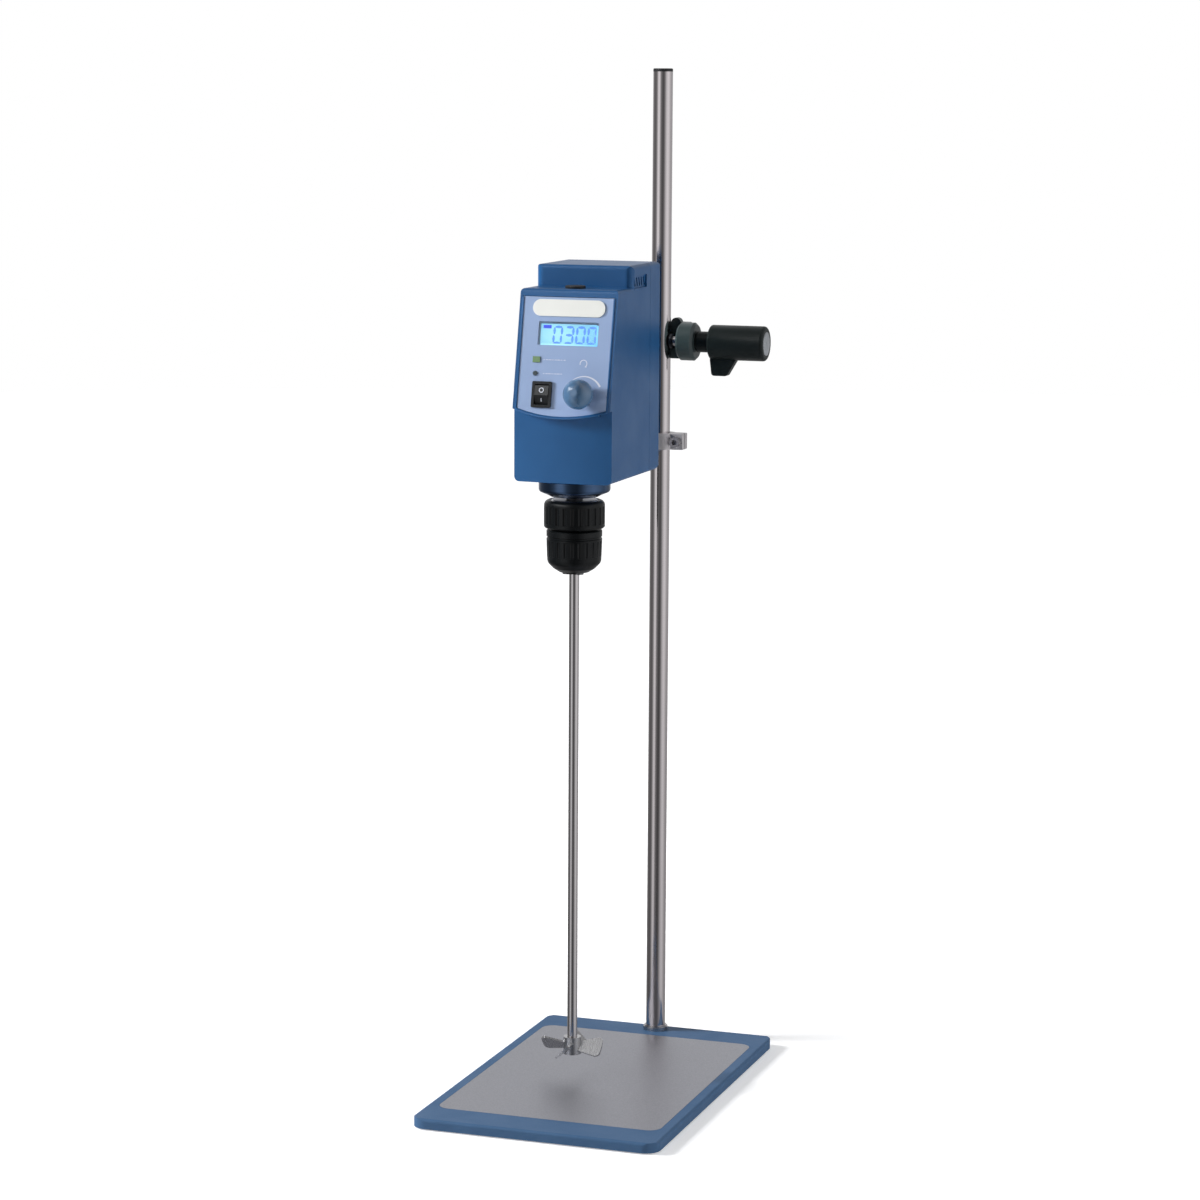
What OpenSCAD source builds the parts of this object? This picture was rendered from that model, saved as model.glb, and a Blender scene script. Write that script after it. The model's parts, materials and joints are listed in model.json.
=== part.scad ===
// Overhead stirrer on a plate stand: a plate with a long rod, a boss head clamp,
// and a motor head with a keyless chuck, a stirring shaft and a propeller.
// X is to the right, Y to the back, Z up. The origin is at the bottom centre of the whole object.

/* [Stand] */
// Width of the base plate
plate_w = 200; // [170:5:260]
// Depth of the base plate
plate_d = 316; // [280:2:380]
// Thickness of the base plate
plate_t = 8; // [7:0.5:12]
// Corner radius of the base plate
plate_r = 12; // [5:1:16]
// Radius of the plate's top edge
plate_edge = 2.2; // [0.4:0.2:3]
// Rim of the plate at each side of the inset sheet
rim_side = 9; // [6:1:16]
// Rim of the plate in front of and behind the inset sheet
rim_end = 32; // [28:1:40]
// Corner radius of the inset sheet
sheet_r = 10; // [2:1:12]
// Thickness of the inset sheet
sheet_t = 0.8; // [0.5:0.1:1.4]
// Height that the rubber feet lift the plate
foot_lift = 1; // [0.5:0.5:4]
// Diameter of a rubber foot
foot_d = 22; // [14:1:30]
// Diameter of the stand rod
rod_d = 16; // [14:0.5:18]
// Length of the stand rod above the plate
rod_l = 800; // [740:10:1000]
// Distance from the rod's axis to the back edge of the plate
rod_inset = 12; // [11:0.5:20]
// Diameter of the rod's spigot through the plate
spigot_d = 10; // [8:1:12]
// Diameter of the ring round the foot of the rod
rod_ring_d = 20.5; // [19.5:0.5:22]
// Height of the ring round the foot of the rod
rod_ring_h = 4; // [3:0.5:10]
// Thickness of the cap on top of the rod
rod_cap_t = 2.5; // [1.5:0.5:6]

/* [Stop ring] */
// Height of the stop ring's middle above the plate
ring_at = 498; // [300:1:520]
// Outer diameter of the stop ring
ring_d = 26; // [24:1:34]
// Height of the stop ring
ring_h = 13; // [11:0.5:16]
// Distance from the rod's axis to the end of the ring's lug
lug_reach = 21; // [20:0.5:26]
// Width of the lug, front to back
lug_w = 14; // [12:1:18]
// Diameter of the lug screw's shank
lug_screw_d = 5; // [4:0.5:6]
// Diameter of the lug screw's head
lug_head_d = 8.5; // [8:0.5:10]

/* [Clamp] */
// Height of the mounting arm's axis above the plate
arm_at = 580; // [575:1:600]
// Diameter of the mounting arm
arm_d = 13; // [10:0.5:15]
// Thickness of metal left between rod and arm
web_t = 3.9; // [3:0.1:8]
// Height of the clamp's rod jaw
jaw_h = 30; // [26:1:34]
// Wall behind the rod
jaw_back_t = 6.5; // [5:0.5:10]
// Width of the jaw that takes the arm, front to back
arm_jaw_w = 25; // [20:1:30]
// Wall under the arm
arm_floor_t = 8; // [6:0.5:12]
// Room between the rod and the face of its screw boss
rod_jaw_room = 8.3; // [7.5:0.1:10]
// Room between the arm and the face of its screw boss
arm_jaw_room = 3.5; // [3.2:0.1:5]
// Diameter of a screw boss
boss_d = 31; // [26:1:34]
// Length of the rod's screw boss
rod_boss_l = 14.5; // [12:0.5:20]
// Length of the arm's screw boss
arm_boss_l = 11; // [10:1:14]
// Diameter of a clamping screw
clamp_screw_d = 8; // [6:1:10]
// Diameter of a swivel pad
pad_d = 12; // [11:1:14]
// Thickness of a swivel pad
pad_t = 2.5; // [2:0.5:4]
// Travel of a clamping screw
screw_travel = 3; // [1:0.5:3]
// Diameter of a clamp knob
knob_d = 28.4; // [24:0.2:32]
// Length of a clamp knob's grip
knob_l = 47; // [40:0.5:52]
// Diameter of a clamp knob's neck
neck_d = 17; // [14:1:22]
// Length of a clamp knob's neck
neck_l = 11.5; // [4:0.5:12]
// Distance from the knob's axis to the tip of its wing
wing_reach = 27; // [22:1:32]
// Thickness of the wing
wing_t = 8; // [5:0.5:10]

/* [Mounting arm] */
// Free length of the arm between the head and the rod's axis
arm_free = 67; // [64:1:80]
// Length of the arm behind the rod's axis
arm_past = 22; // [18:1:40]
// Length of the arm inside the head
arm_inside = 22; // [16:1:22]

/* [Head] */
// Width of the head
body_w = 80; // [78:1:90]
// Depth of the head
body_d = 118; // [118:1:130]
// Height of the front part of the head
body_h = 149; // [147:1:165]
// Height of the hump above the front part
hump_h = 17; // [12:1:30]
// Distance from the chin to the front of the hump
hump_at = 48; // [45:1:52]
// Corner radius at the front of the hump, seen from above
hump_r = 6; // [2:0.5:8]
// Depth of the rear cover
cover_d = 25.5; // [22:0.5:28]
// Wall of the housing and of the rear cover
wall = 3; // [2:0.25:3.25]
// Height of the arm's axis above the bottom of the head
arm_up = 97.5; // [92:0.5:104]
// Distance from the chin's corner to the spindle's axis
spindle_at = 28; // [26:0.5:30]
// How far the middle of the chin bulges forward
chin_bulge = 2.5; // [1:0.25:3]
// Height of the lip's ends above the bottom of the head
lip_h = 57; // [54:0.5:60]
// How far the lip stands out in front of the chin
lip_out = 4.2; // [3.6:0.1:5]
// How far the middle of the lip sags below its ends
lip_sag = 6.5; // [3:0.5:9]
// Backward tilt of the control panel
panel_tilt = 11.5; // [8:0.5:13]
// Radius of the head's upper long edges
top_r = 3; // [1:0.5:5]
// Radius of the head's lower long edges
bottom_r = 4; // [1:0.5:6]
// Groove at the seam of the rear cover
seam_gap = 0.3; // [0.2:0.1:0.6]

/* [Control panel] */
// Border of the housing round the panel
panel_border = 2.5; // [2:0.25:4]
// Thickness of the panel
panel_t = 1.6; // [1.2:0.1:2]
// Height of the panel, along its tilt
panel_h = 88; // [87:0.5:89]
// Width of the pill-shaped plate
logo_w = 59; // [40:1:64]
// Height of the pill-shaped plate
logo_h = 13; // [10:0.5:15]
// Width of the display window
display_w = 46; // [40:1:54]
// Height of the display window
display_h = 15.5; // [14:0.5:19]
// Border of the display window's recess
display_border = 1.5; // [1:0.25:2.5]
// Width of the upper lamp
lamp_w = 6; // [4:0.5:7]
// Height of the upper lamp
lamp_h = 4.6; // [3:0.2:6]
// Diameter of the lower lamp
lamp_d = 3.6; // [3:0.2:5]
// Width of the rocker switch's frame
switch_w = 16; // [15:0.5:18]
// Height of the rocker switch's frame
switch_h = 20.4; // [18:0.2:21]
// Swing of the rocker
rocker_swing = 18; // [12:1:20]
// Diameter of the speed knob
speed_knob_d = 23.5; // [18:0.5:25]
// Diameter of the speed knob's stem
speed_stem_d = 13.6; // [11:0.2:15]
// Diameter of the encoder's shaft
encoder_d = 6; // [4:0.5:6]
// Travel of the push function
push_travel = 0.8; // [0.4:0.1:1]

/* [Drive] */
// Outer diameter of the hollow spindle
spindle_d = 15; // [14.5:0.5:15]
// Bore of the hollow spindle
spindle_bore = 10.4; // [9:0.1:10.6]
// Outer diameter of the spindle bearings
bearing_d = 32; // [28:1:32]
// Width of the spindle bearings
bearing_w = 9; // [7:0.5:9]
// Distance between the spindle's and the motor's axes
belt_centres = 42; // [40:0.5:43]
// Teeth on the spindle pulley
spindle_teeth = 30; // [28:1:32]
// Teeth on the motor pulley
motor_teeth = 15; // [14:1:18]
// Tooth pitch of the belt
belt_pitch = 3; // [2.5:0.5:3]
// Width of the belt
belt_w = 10; // [6:1:10]
// Thickness of the belt
belt_t = 1.5; // [1:0.1:2]
// Diameter of the motor's case
motor_d = 44; // [38:1:44]
// Length of the motor's case
motor_l = 80; // [60:1:90]
// Diameter of the motor's shaft
motor_shaft_d = 6; // [5:0.5:6]

/* [Collar and chuck] */
// Diameter of the collar under the head
collar_d = 56.4; // [50:0.2:60]
// Height of the collar's upper part
collar_h = 8; // [6:0.5:10]
// Height of the collar's tapered part
collar_taper_h = 5; // [4:0.5:10]
// Diameter of the collar's lower end
collar_end_d = 38; // [30:1:44]
// Gap between the collar and the chuck
chuck_gap = 2.5; // [2:0.5:6]
// Diameter of the spindle's neck between them
chuck_neck_d = 13; // [12.5:0.5:13.5]
// Diameter of the chuck's rear sleeve
rear_sleeve_d = 47.8; // [46:0.2:52]
// Length of the chuck's rear sleeve
rear_sleeve_l = 22.3; // [18:0.1:24]
// Diameter of the chuck's front sleeve
front_sleeve_d = 43.8; // [43:0.2:45]
// Length of the chuck
chuck_l = 59; // [57:0.5:62]
// Flutes round each sleeve
flutes = 24; // [16:1:30]
// Depth of a flute
flute_depth = 0.9; // [0.4:0.1:1]
// Slope of the jaws against the chuck's axis
jaw_angle = 15; // [12:1:16]
// Travel of a jaw along its slope
jaw_travel = 4; // [2:0.5:4]

/* [Stirring shaft] */
// Diameter of the stirring shaft
shaft_d = 8; // [6:0.5:8]
// Length of the stirring shaft
shaft_l = 450; // [420:5:452]
// Length of the shaft inside the chuck
shaft_grip = 60.5; // [58:0.5:80]
// Diameter of the propeller
prop_d = 50; // [40:1:70]
// Diameter of the propeller's hub
hub_d = 14; // [13:0.5:18]
// Height of the propeller's hub
hub_h = 14; // [12:0.5:20]
// Pitch angle of the blades
blade_pitch = 45; // [30:5:55]
// Width of a blade
blade_w = 17; // [12:1:18]
// Thickness of a blade
blade_t = 1.5; // [1:0.1:2]

/* [Power inlet] */
// Width of the inlet's flange
inlet_w = 31; // [30:0.5:34]
// Height of the inlet's flange
inlet_h = 24; // [23:0.5:26]
// Depth of the inlet's body behind the cover's face
inlet_depth = 17; // [16:0.5:19]

/* [Hidden] */
$fn = 48;

// Clearances
run = 0.05;      // radial, a shaft that turns or slides in its hole
seat = 0.3;      // between parts that only rest against each other
tiny = 0.1;      // between parts that are screwed together
over = 1;        // how far a cutting tool passes a face

// Stand
tail = max(0, arm_past - rod_inset);
base_y = -tail / 2;
plate_z = foot_lift;
top_z = plate_z + plate_t;
rod_y = base_y + plate_d / 2 - rod_inset;
foot_x = plate_w / 2 - 20;
foot_y = plate_d / 2 - 40;
foot_t = foot_lift + 2;
washer_t = 1;
nut_h = 4;
nut_pocket_r = 11;
ring_z = top_z + ring_at - ring_h / 2;

// Clamp
arm_z = top_z + arm_at;
rod_r = rod_d / 2;
arm_r = arm_d / 2;
arm_x = -(rod_r + seat + web_t + seat + arm_r);
boss_face = rod_r + rod_jaw_room;
boss_end = boss_face + rod_boss_l;
arm_boss_face = arm_x - arm_r - arm_jaw_room;
arm_boss_end = arm_boss_face - arm_boss_l;
floor_top = -arm_r - seat;
floor_bottom = floor_top - arm_floor_t;
knob_gap = 0.5;

// Head
spindle_x = arm_x;
rear_y = rod_y - arm_free;
face_y = rear_y - body_d;
head_z = arm_z - arm_up;
spindle_y = face_y + spindle_at;
full_h = body_h + hump_h;
seam_at = body_d - cover_d;
half_w = body_w / 2;
tilt_tan = tan(panel_tilt);
tilt_cos = cos(panel_tilt);
chin_r = (half_w * half_w + chin_bulge * chin_bulge) / (2 * chin_bulge);
lip_slope = 34;
panel_half = half_w - panel_border;
post_x = half_w - 6.5;
post_low = 8;
post_high = full_h - 11;
post_r = 4.2;
screw_sink = 14;

// Places on the control panel: across, and up its tilt from the lip's ends
logo_at = [0.8, 79.2];
display_at = [1.4, 59.3];
lamp_at = [-23, 38.8];
small_lamp_at = [-23.4, 28];
switch_at = [-16.7, 11.6];
knob_at = [17.1, 11.6];
board_top = 71;
board_front = 8;
board_t = 1.6;
pillar_at = [[-31, 28], [31, 28], [-31, 65], [31, 65]];
pillar_d = 5.6;

// Drive, heights above the bottom of the head
base_top = 8;
shelf_low = 42;
shelf_top = 46;
tower_r = bearing_d / 2 + 3;
low_bearing_z = 6;
up_bearing_z = 58;
belt_z = 26;
spindle_top = 138;
motor_z = shelf_top + tiny;
spindle_pulley_r = spindle_teeth * belt_pitch / (2 * PI);
motor_pulley_r = motor_teeth * belt_pitch / (2 * PI);
motor_at = spindle_at + belt_centres;
rotor_r = motor_d / 2 - 9;

// Chuck, heights below its top face
collar_z = head_z - collar_h - collar_taper_h;
chuck_z = collar_z - chuck_gap;
chuck_body_r = 18.3;
sleeve_split = rear_sleeve_l + 1.5;
shoulder = chuck_l - 12;
nose_r = 7.6;
jaw_r = 4;
jaw_tip_r = 5;
jaw_l = 22;
shaft_top_z = chuck_z - chuck_l + shaft_grip;
shaft_end_z = shaft_top_z - shaft_l;

// Colours
plate_blue = [0.25, 0.35, 0.47];
sheet_grey = [0.62, 0.62, 0.64];
steel = [0.78, 0.77, 0.78];
dark_steel = [0.45, 0.46, 0.48];
rubber_black = [0.08, 0.08, 0.09];
clamp_black = [0.14, 0.17, 0.17];
head_blue = [0.20, 0.35, 0.53];
panel_violet = [0.58, 0.65, 0.82];
warm_white = [0.90, 0.89, 0.86];
board_green = [0.12, 0.36, 0.22];
cast_grey = [0.60, 0.61, 0.62];
collar_dark = [0.16, 0.19, 0.24];
chuck_black = [0.09, 0.10, 0.11];
copper = [0.72, 0.45, 0.28];

// Points of an arc, from angle a0 to angle a1
function arc(cx, cy, r, a0, a1, n = 8) =
    [for (i = [0 : n]) let (a = a0 + (a1 - a0) * i / n) [cx + r * cos(a), cy + r * sin(a)]];

// A rounded rectangle with true arcs, centred
module slab(w, d, r) {
    square([w - 2 * r, d], center = true);
    square([w, d - 2 * r], center = true);
    for (x = [-1, 1], y = [-1, 1]) translate([x * (w / 2 - r), y * (d / 2 - r)]) circle(r);
}

// Extrusions of an outline along X (outline in Y, Z) and along Y (outline in X, Z)
module along_x(l) rotate([90, 0, 90]) translate([0, 0, -l / 2]) linear_extrude(l) children();
module along_y(y0, y1) translate([0, y1, 0]) rotate([90, 0, 0]) linear_extrude(y1 - y0) children();

// A cylinder along X from x0 to x1, and one along Y from y0 to y1
module rod_x(r, x0, x1) translate([x0, 0, 0]) rotate([0, 90, 0]) cylinder(r = r, h = x1 - x0);
module rod_y(r, y0, y1) translate([0, y1, 0]) rotate([90, 0, 0]) cylinder(r = r, h = y1 - y0);

// Frames of reference
module at_base() translate([0, base_y, plate_z]) children();
module at_rod(z) translate([0, rod_y, z]) children();
module at_head() translate([spindle_x, face_y, head_z]) children();
module at_spindle(z = 0) translate([spindle_x, spindle_y, head_z + z]) children();
module at_motor(z = 0) translate([spindle_x, face_y + motor_at, head_z + z]) children();
module at_chuck() translate([spindle_x, spindle_y, chuck_z]) children();
// On the panel X runs across, Z up the tilt and -Y straight out of its face
module on_panel(p = [0, 0]) at_head() translate([0, -lip_out, lip_h]) rotate([-panel_tilt, 0, 0])
    translate([p[0], 0, p[1]]) children();
// A plate on the panel, from depth d0 (in) to d1 (out), with its outline in X, Z
module panel_slab(d0, d1) translate([0, -d0, 0]) rotate([90, 0, 0]) linear_extrude(d1 - d0) children();

// Stand
module base_plate() color(plate_blue) at_base() difference() {
    intersection() {
        linear_extrude(plate_t) slab(plate_w, plate_d, plate_r);
        along_x(plate_w) polygon(edge_section(plate_d));
        along_y(-plate_d / 2, plate_d / 2) polygon(edge_section(plate_w));
    }
    translate([0, 0, plate_t - sheet_t]) linear_extrude(sheet_t + over)
        slab(plate_w - 2 * rim_side, plate_d - 2 * rim_end, sheet_r);
    for (x = [-1, 1], y = [-1, 1]) translate([x * foot_x, y * foot_y, -over])
        cylinder(d = foot_d + 2 * tiny, h = foot_t - foot_lift + over);
    translate([0, plate_d / 2 - rod_inset, -over]) {
        cylinder(d = spigot_d + 2 * run, h = plate_t + 2 * over);
        cylinder(r = nut_pocket_r, h = washer_t + nut_h + over);
    }
}
// Cross-section of the plate with its top edges rounded
function edge_section(w) = let (h = w / 2, r = plate_edge) concat([[-h, 0], [h, 0]],
    arc(h - r, plate_t - r, r, 0, 90, 5), arc(r - h, plate_t - r, r, 90, 180, 5));

module base_sheet() color(sheet_grey) at_base()
    translate([0, 0, plate_t - sheet_t]) linear_extrude(sheet_t)
        slab(plate_w - 2 * rim_side - seat, plate_d - 2 * rim_end - seat, sheet_r);

module rubber_feet() color(rubber_black) at_base()
    for (x = [-1, 1], y = [-1, 1]) translate([x * foot_x, y * foot_y, -foot_lift])
        cylinder(d = foot_d, h = foot_t);

module rod_ring() color(steel) at_rod(top_z) difference() {
    union() {
        cylinder(d = rod_ring_d, h = rod_ring_h - 1);
        cylinder(d = rod_ring_d - 2, h = rod_ring_h);
    }
    translate([0, 0, -over]) cylinder(r = rod_r + run, h = rod_ring_h + 2 * over);
}

module rod_washer() color(steel) at_rod(plate_z + nut_h) difference() {
    cylinder(r = nut_pocket_r - 0.5, h = washer_t);
    translate([0, 0, -over]) cylinder(d = spigot_d + 2 * run, h = washer_t + 2 * over);
}

module rod_nut() color(dark_steel) at_rod(plate_z) difference() {
    cylinder(r = 9.2, h = nut_h, $fn = 6);
    translate([0, 0, -over]) cylinder(d = spigot_d + 2 * run, h = nut_h + 2 * over);
}

module stand_rod() color(steel) at_rod(0) {
    translate([0, 0, plate_z]) cylinder(d = spigot_d, h = plate_t + over);
    translate([0, 0, top_z]) cylinder(r = rod_r, h = rod_l - rod_cap_t);
}

module rod_cap() color(rubber_black) at_rod(top_z + rod_l - rod_cap_t) rotate_extrude()
    polygon(concat([[0, 0], [rod_r, 0]], arc(rod_r - 1, rod_cap_t - 1, 1, 0, 90, 5), [[0, rod_cap_t]]));

// Stop ring
module stop_ring() color(steel) at_rod(ring_z) difference() {
    union() {
        cylinder(d = ring_d, h = ring_h);
        translate([0, -lug_w / 2, 0]) cube([lug_reach, lug_w, ring_h]);
    }
    translate([0, 0, -over]) cylinder(r = rod_r + run, h = ring_h + 2 * over);
    translate([0, -0.75, -over]) cube([lug_reach + over, 1.5, ring_h + 2 * over]);
    translate([lug_screw_x, 0, ring_h / 2]) rod_y(lug_screw_d / 2 + run, -lug_w, lug_w);
}
lug_screw_x = lug_reach - lug_head_d / 2 - 1;

module ring_screw() color(dark_steel) at_rod(ring_z + ring_h / 2) translate([lug_screw_x, 0, 0])
    difference() {
        union() {
            rod_y(lug_screw_d / 2, -lug_w / 2 - over, lug_w / 2 - over);
            rod_y(lug_head_d / 2, -lug_w / 2 - lug_screw_d, -lug_w / 2 - tiny);
        }
        translate([0, -lug_w / 2 - lug_screw_d - over, 0]) rotate([-90, 0, 0])
            cylinder(r = lug_screw_d * 0.46, h = lug_screw_d / 2 + over, $fn = 6);
    }

// Clamp
module clamp_body() color(clamp_black) at_rod(arm_z) difference() {
    union() {
        // Back wall behind the rod, and the web between rod and arm
        translate([0, 0, -jaw_h / 2]) linear_extrude(jaw_h) polygon(concat(
            [[-rod_r - seat - web_t, -arm_jaw_w / 2], [-rod_r - seat, -arm_jaw_w / 2],
                [-rod_r - seat, rod_r + seat], [boss_face + boss_edge, rod_r + seat],
                [boss_face + boss_edge, 2], [back_end, 2]],
            arc(back_end - 3, rod_r + seat + jaw_back_t - 3, 3, 0, 90),
            [[-rod_r - seat - web_t, rod_r + seat + jaw_back_t]]));
        // Round boss of the rod's screw, chamfered at both ends
        translate([boss_face, 0, 0]) rotate([0, 90, 0])
            cylinder(r1 = boss_d / 2 - boss_edge, r2 = boss_d / 2, h = boss_edge);
        rod_x(boss_d / 2, boss_face + boss_edge, boss_end - boss_edge);
        translate([boss_end - boss_edge, 0, 0]) rotate([0, 90, 0])
            cylinder(r1 = boss_d / 2, r2 = boss_d / 2 - boss_edge, h = boss_edge);
        // Rounded ear on top of the back wall
        translate([ear_at, 0, jaw_h / 2 - ear_r / 5])
            rod_y(ear_r, rod_r + seat, rod_r + seat + jaw_back_t);
        // Jaw of the arm: a floor under it and a boss on its far side
        along_y(-arm_jaw_w / 2, arm_jaw_w / 2) polygon(concat(
            [[-rod_r - seat, floor_bottom], [-rod_r - seat, jaw_h / 2],
                [arm_x + arm_r + seat, jaw_h / 2], [arm_x + arm_r + seat, floor_top],
                [arm_boss_face, floor_top], [arm_boss_face, 11]],
            arc(arm_boss_end + 3, 8, 3, 90, 180),
            arc(arm_boss_end + 4, floor_bottom + 4, 4, 180, 270)));
        intersection() {
            rod_x(boss_d / 2 - 1, arm_boss_end, arm_boss_face);
            translate([arm_boss_end, -boss_d, floor_bottom]) cube([arm_boss_l, 2 * boss_d, boss_d]);
        }
    }
    // Bores of the two screws, with pockets for the pads
    rod_x(clamp_screw_d / 2 + run, boss_face - over, boss_end + over);
    rod_x(clamp_screw_d / 2 + run, arm_boss_end - over, arm_boss_face + over);
    rod_x(pad_d / 2 + seat, arm_boss_face - screw_travel, arm_boss_face + over);
}
boss_edge = 2;
back_end = boss_face + 6;
ear_r = 4.2;
ear_at = boss_face - 6.3;

// Swivel pad with the socket of its screw, its face at x = 0 and its back towards +X
module swivel_pad() difference() {
    union() {
        rod_x(pad_d / 2, 0, pad_t - 0.5);
        rod_x(pad_d / 2 - 0.8, 0, pad_t);
    }
    rod_x(clamp_screw_d / 4 + run, pad_t - 1.5, pad_t + over);
}

// Screw that starts in the pad's socket and ends inside the knob
module clamp_screw(l) {
    rod_x(clamp_screw_d / 4, pad_t - 1.5 + run, pad_t + tiny + over);
    rod_x(clamp_screw_d / 2, pad_t + tiny, l);
}

// Knob: neck, long grip with rounded ends and one wing
module clamp_knob() difference() {
    union() {
        rotate([90, 0, 90]) rotate_extrude() polygon(concat([[0, 0]],
            arc(neck_d / 2 - 1, 1, 1, 270, 360, 4),
            [[neck_d / 2, neck_l]],
            arc(knob_d / 2 - 2, neck_l + 2, 2, 270, 360, 5),
            arc(knob_d / 2 - 2.5, neck_l + knob_l - 2.5, 2.5, 0, 90, 6),
            [[0, neck_l + knob_l]]));
        along_y(-wing_t / 2, wing_t / 2) polygon(concat(
            [[neck_l + 0.3, 0], [neck_l + 0.3, -knob_d / 2], [neck_l + 1.5, -wing_reach + 2.5]],
            arc(neck_l + 4, -wing_reach + 2.5, 2.5, 180, 270, 5),
            arc(neck_l + 13, -wing_reach + 2.5, 2.5, 270, 320, 5),
            [[neck_l + 22, -knob_d / 2], [neck_l + 22, 0]]));
    }
    rod_x(clamp_screw_d / 2 + tiny, -over, knob_grip + tiny);
}
knob_grip = 24;

module rod_pad() color(dark_steel) at_rod(arm_z) translate([rod_r + seat, 0, 0]) swivel_pad();
module rod_screw() color(steel) at_rod(arm_z) translate([rod_r + seat, 0, 0])
    clamp_screw(boss_end + knob_gap + knob_grip - rod_r - seat);
module rod_knob() color(clamp_black) at_rod(arm_z) translate([boss_end + knob_gap, 0, 0]) clamp_knob();

module at_arm_side() at_rod(arm_z) translate([arm_x - arm_r - seat, 0, 0]) mirror([1, 0, 0]) children();
module arm_pad() color(dark_steel) at_arm_side() swivel_pad();
module arm_screw() color(steel) at_arm_side()
    clamp_screw(arm_x - arm_r - seat - arm_boss_end + knob_gap + knob_grip);
module arm_knob() color(clamp_black) at_rod(arm_z) translate([arm_boss_end - knob_gap, 0, 0])
    mirror([1, 0, 0]) clamp_knob();

module mounting_arm() color(steel) translate([arm_x, 0, arm_z])
    rod_y(arm_r, rear_y - arm_inside, rod_y + arm_past);

// Outlines of the head. Inset t makes the matching inner outline.
// Front line of the tilted panel at height z
function panel_y(z, t = 0) = -lip_out + (z - lip_h) * tilt_tan + t / tilt_cos;

// Side view of the front part, in Y and Z
function side_outline(t) = let (
        r = max(top_r - t, 0.4), zt = body_h - t,
        front = -chin_bulge - over,
        rb = max(2 * bottom_r - t, 0.4))
    concat(
        [[front, t], [front, lip_h + (front + lip_out - t / tilt_cos) / tilt_tan]],
        arc(panel_y(zt - r, t) + r / tilt_cos, zt - r, r, 180 - panel_tilt, 90, 5),
        [[body_d - t, zt]],
        arc(body_d - t - rb, t + rb, rb, 0, -90, 6));

// Plan of the front part, its chin an arc, in X and Y
function plan_outline(t) = let (
        w = half_w - t, cy = chin_r - chin_bulge, r = chin_r - t,
        a = asin(w / r))
    concat(
        arc(0, cy, r, 270 - a, 270 + a, 14),
        arc(w - 2, body_d - t - 2, 2, 0, 90, 3),
        arc(2 - w, body_d - t - 2, 2, 90, 180, 3));

// Front view with rounded edges, in X and Z, from height z0 to z1
function front_outline(t, z0, z1, rb, rt) = let (
        w = half_w - t, b = max(rb - t, 0.4), r = max(rt - t, 0.4))
    concat(
        arc(b - w, z0 + b, b, 180, 270, 5),
        arc(w - b, z0 + b, b, 270, 360, 5),
        arc(w - r, z1 - r, r, 0, 90, 5),
        arc(r - w, z1 - r, r, 90, 180, 5));

// Side view and plan of the hump
function hump_side(t) = let (y0 = hump_at + t, zt = full_h - t, r = max(top_r - t, 0.4),
        rr = max(top_r + 1 - t, 0.4))
    concat(
        [[y0, body_h / 2]],
        arc(y0 + r, zt - r, r, 180, 90, 5),
        arc(body_d - t - rr, zt - rr, rr, 90, 0, 5),
        [[body_d - t, body_h / 2]]);
function hump_plan(t) = let (w = half_w - t, y0 = hump_at + t, y1 = body_d - t,
        r = max(hump_r - t, 0.4))
    concat(
        arc(r - w, y0 + r, r, 180, 270, 7),
        arc(w - r, y0 + r, r, 270, 360, 7),
        arc(w - 2, y1 - 2, 2, 0, 90, 3),
        arc(2 - w, y1 - 2, 2, 90, 180, 3));

// The whole head as a solid, inset by t
module head_form(t) {
    intersection() {
        along_x(body_w) polygon(side_outline(t));
        linear_extrude(body_h) polygon(plan_outline(t));
        along_y(-10, body_d) polygon(front_outline(t, t, body_h - t, bottom_r, top_r));
    }
    intersection() {
        along_x(body_w) polygon(hump_side(t));
        linear_extrude(full_h) polygon(hump_plan(t));
        along_y(0, body_d) polygon(front_outline(t, t, full_h - t, bottom_r, top_r + 1));
    }
}

// Outline of panel and lip seen from the front, its lower edge an arc
function smile_outline(w, z1) = let (
        r = (half_w * half_w + lip_sag * lip_sag) / (2 * lip_sag),
        cz = lip_h - lip_sag + r, a = asin(w / r))
    concat(arc(0, cz, r, 270 - a, 270 + a, 16), [[w, z1], [-w, z1]]);

// Block that carries the lip in front of the chin
module lip_block() intersection() {
    along_x(body_w) polygon([
        [6, lip_h - 2 * lip_sag], [panel_y(lip_h - 2 * lip_sag), lip_h - 2 * lip_sag],
        [panel_y(lip_h + 30), lip_h + 30], [6 + 30 * tilt_tan, lip_h + 30]]);
    along_y(-12, 20) polygon(smile_outline(half_w, lip_h + 40));
}

// Vents in the sides of the hump
vent_l = 30;
vent_h = 10;
vent_at = hump_at + 5 + vent_l / 2;
module side_vents() for (s = [-1, 1]) {
    translate([s * (half_w - 0.6), vent_at, body_h + 4]) cube([1.4, vent_l, vent_h], center = true);
    for (i = [-2 : 2]) translate([s * half_w, vent_at + i * 5.6, body_h + 4]) rotate([20, 0, 0])
        cube([4 * wall, 2.4, vent_h - 2.6], center = true);
}

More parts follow.
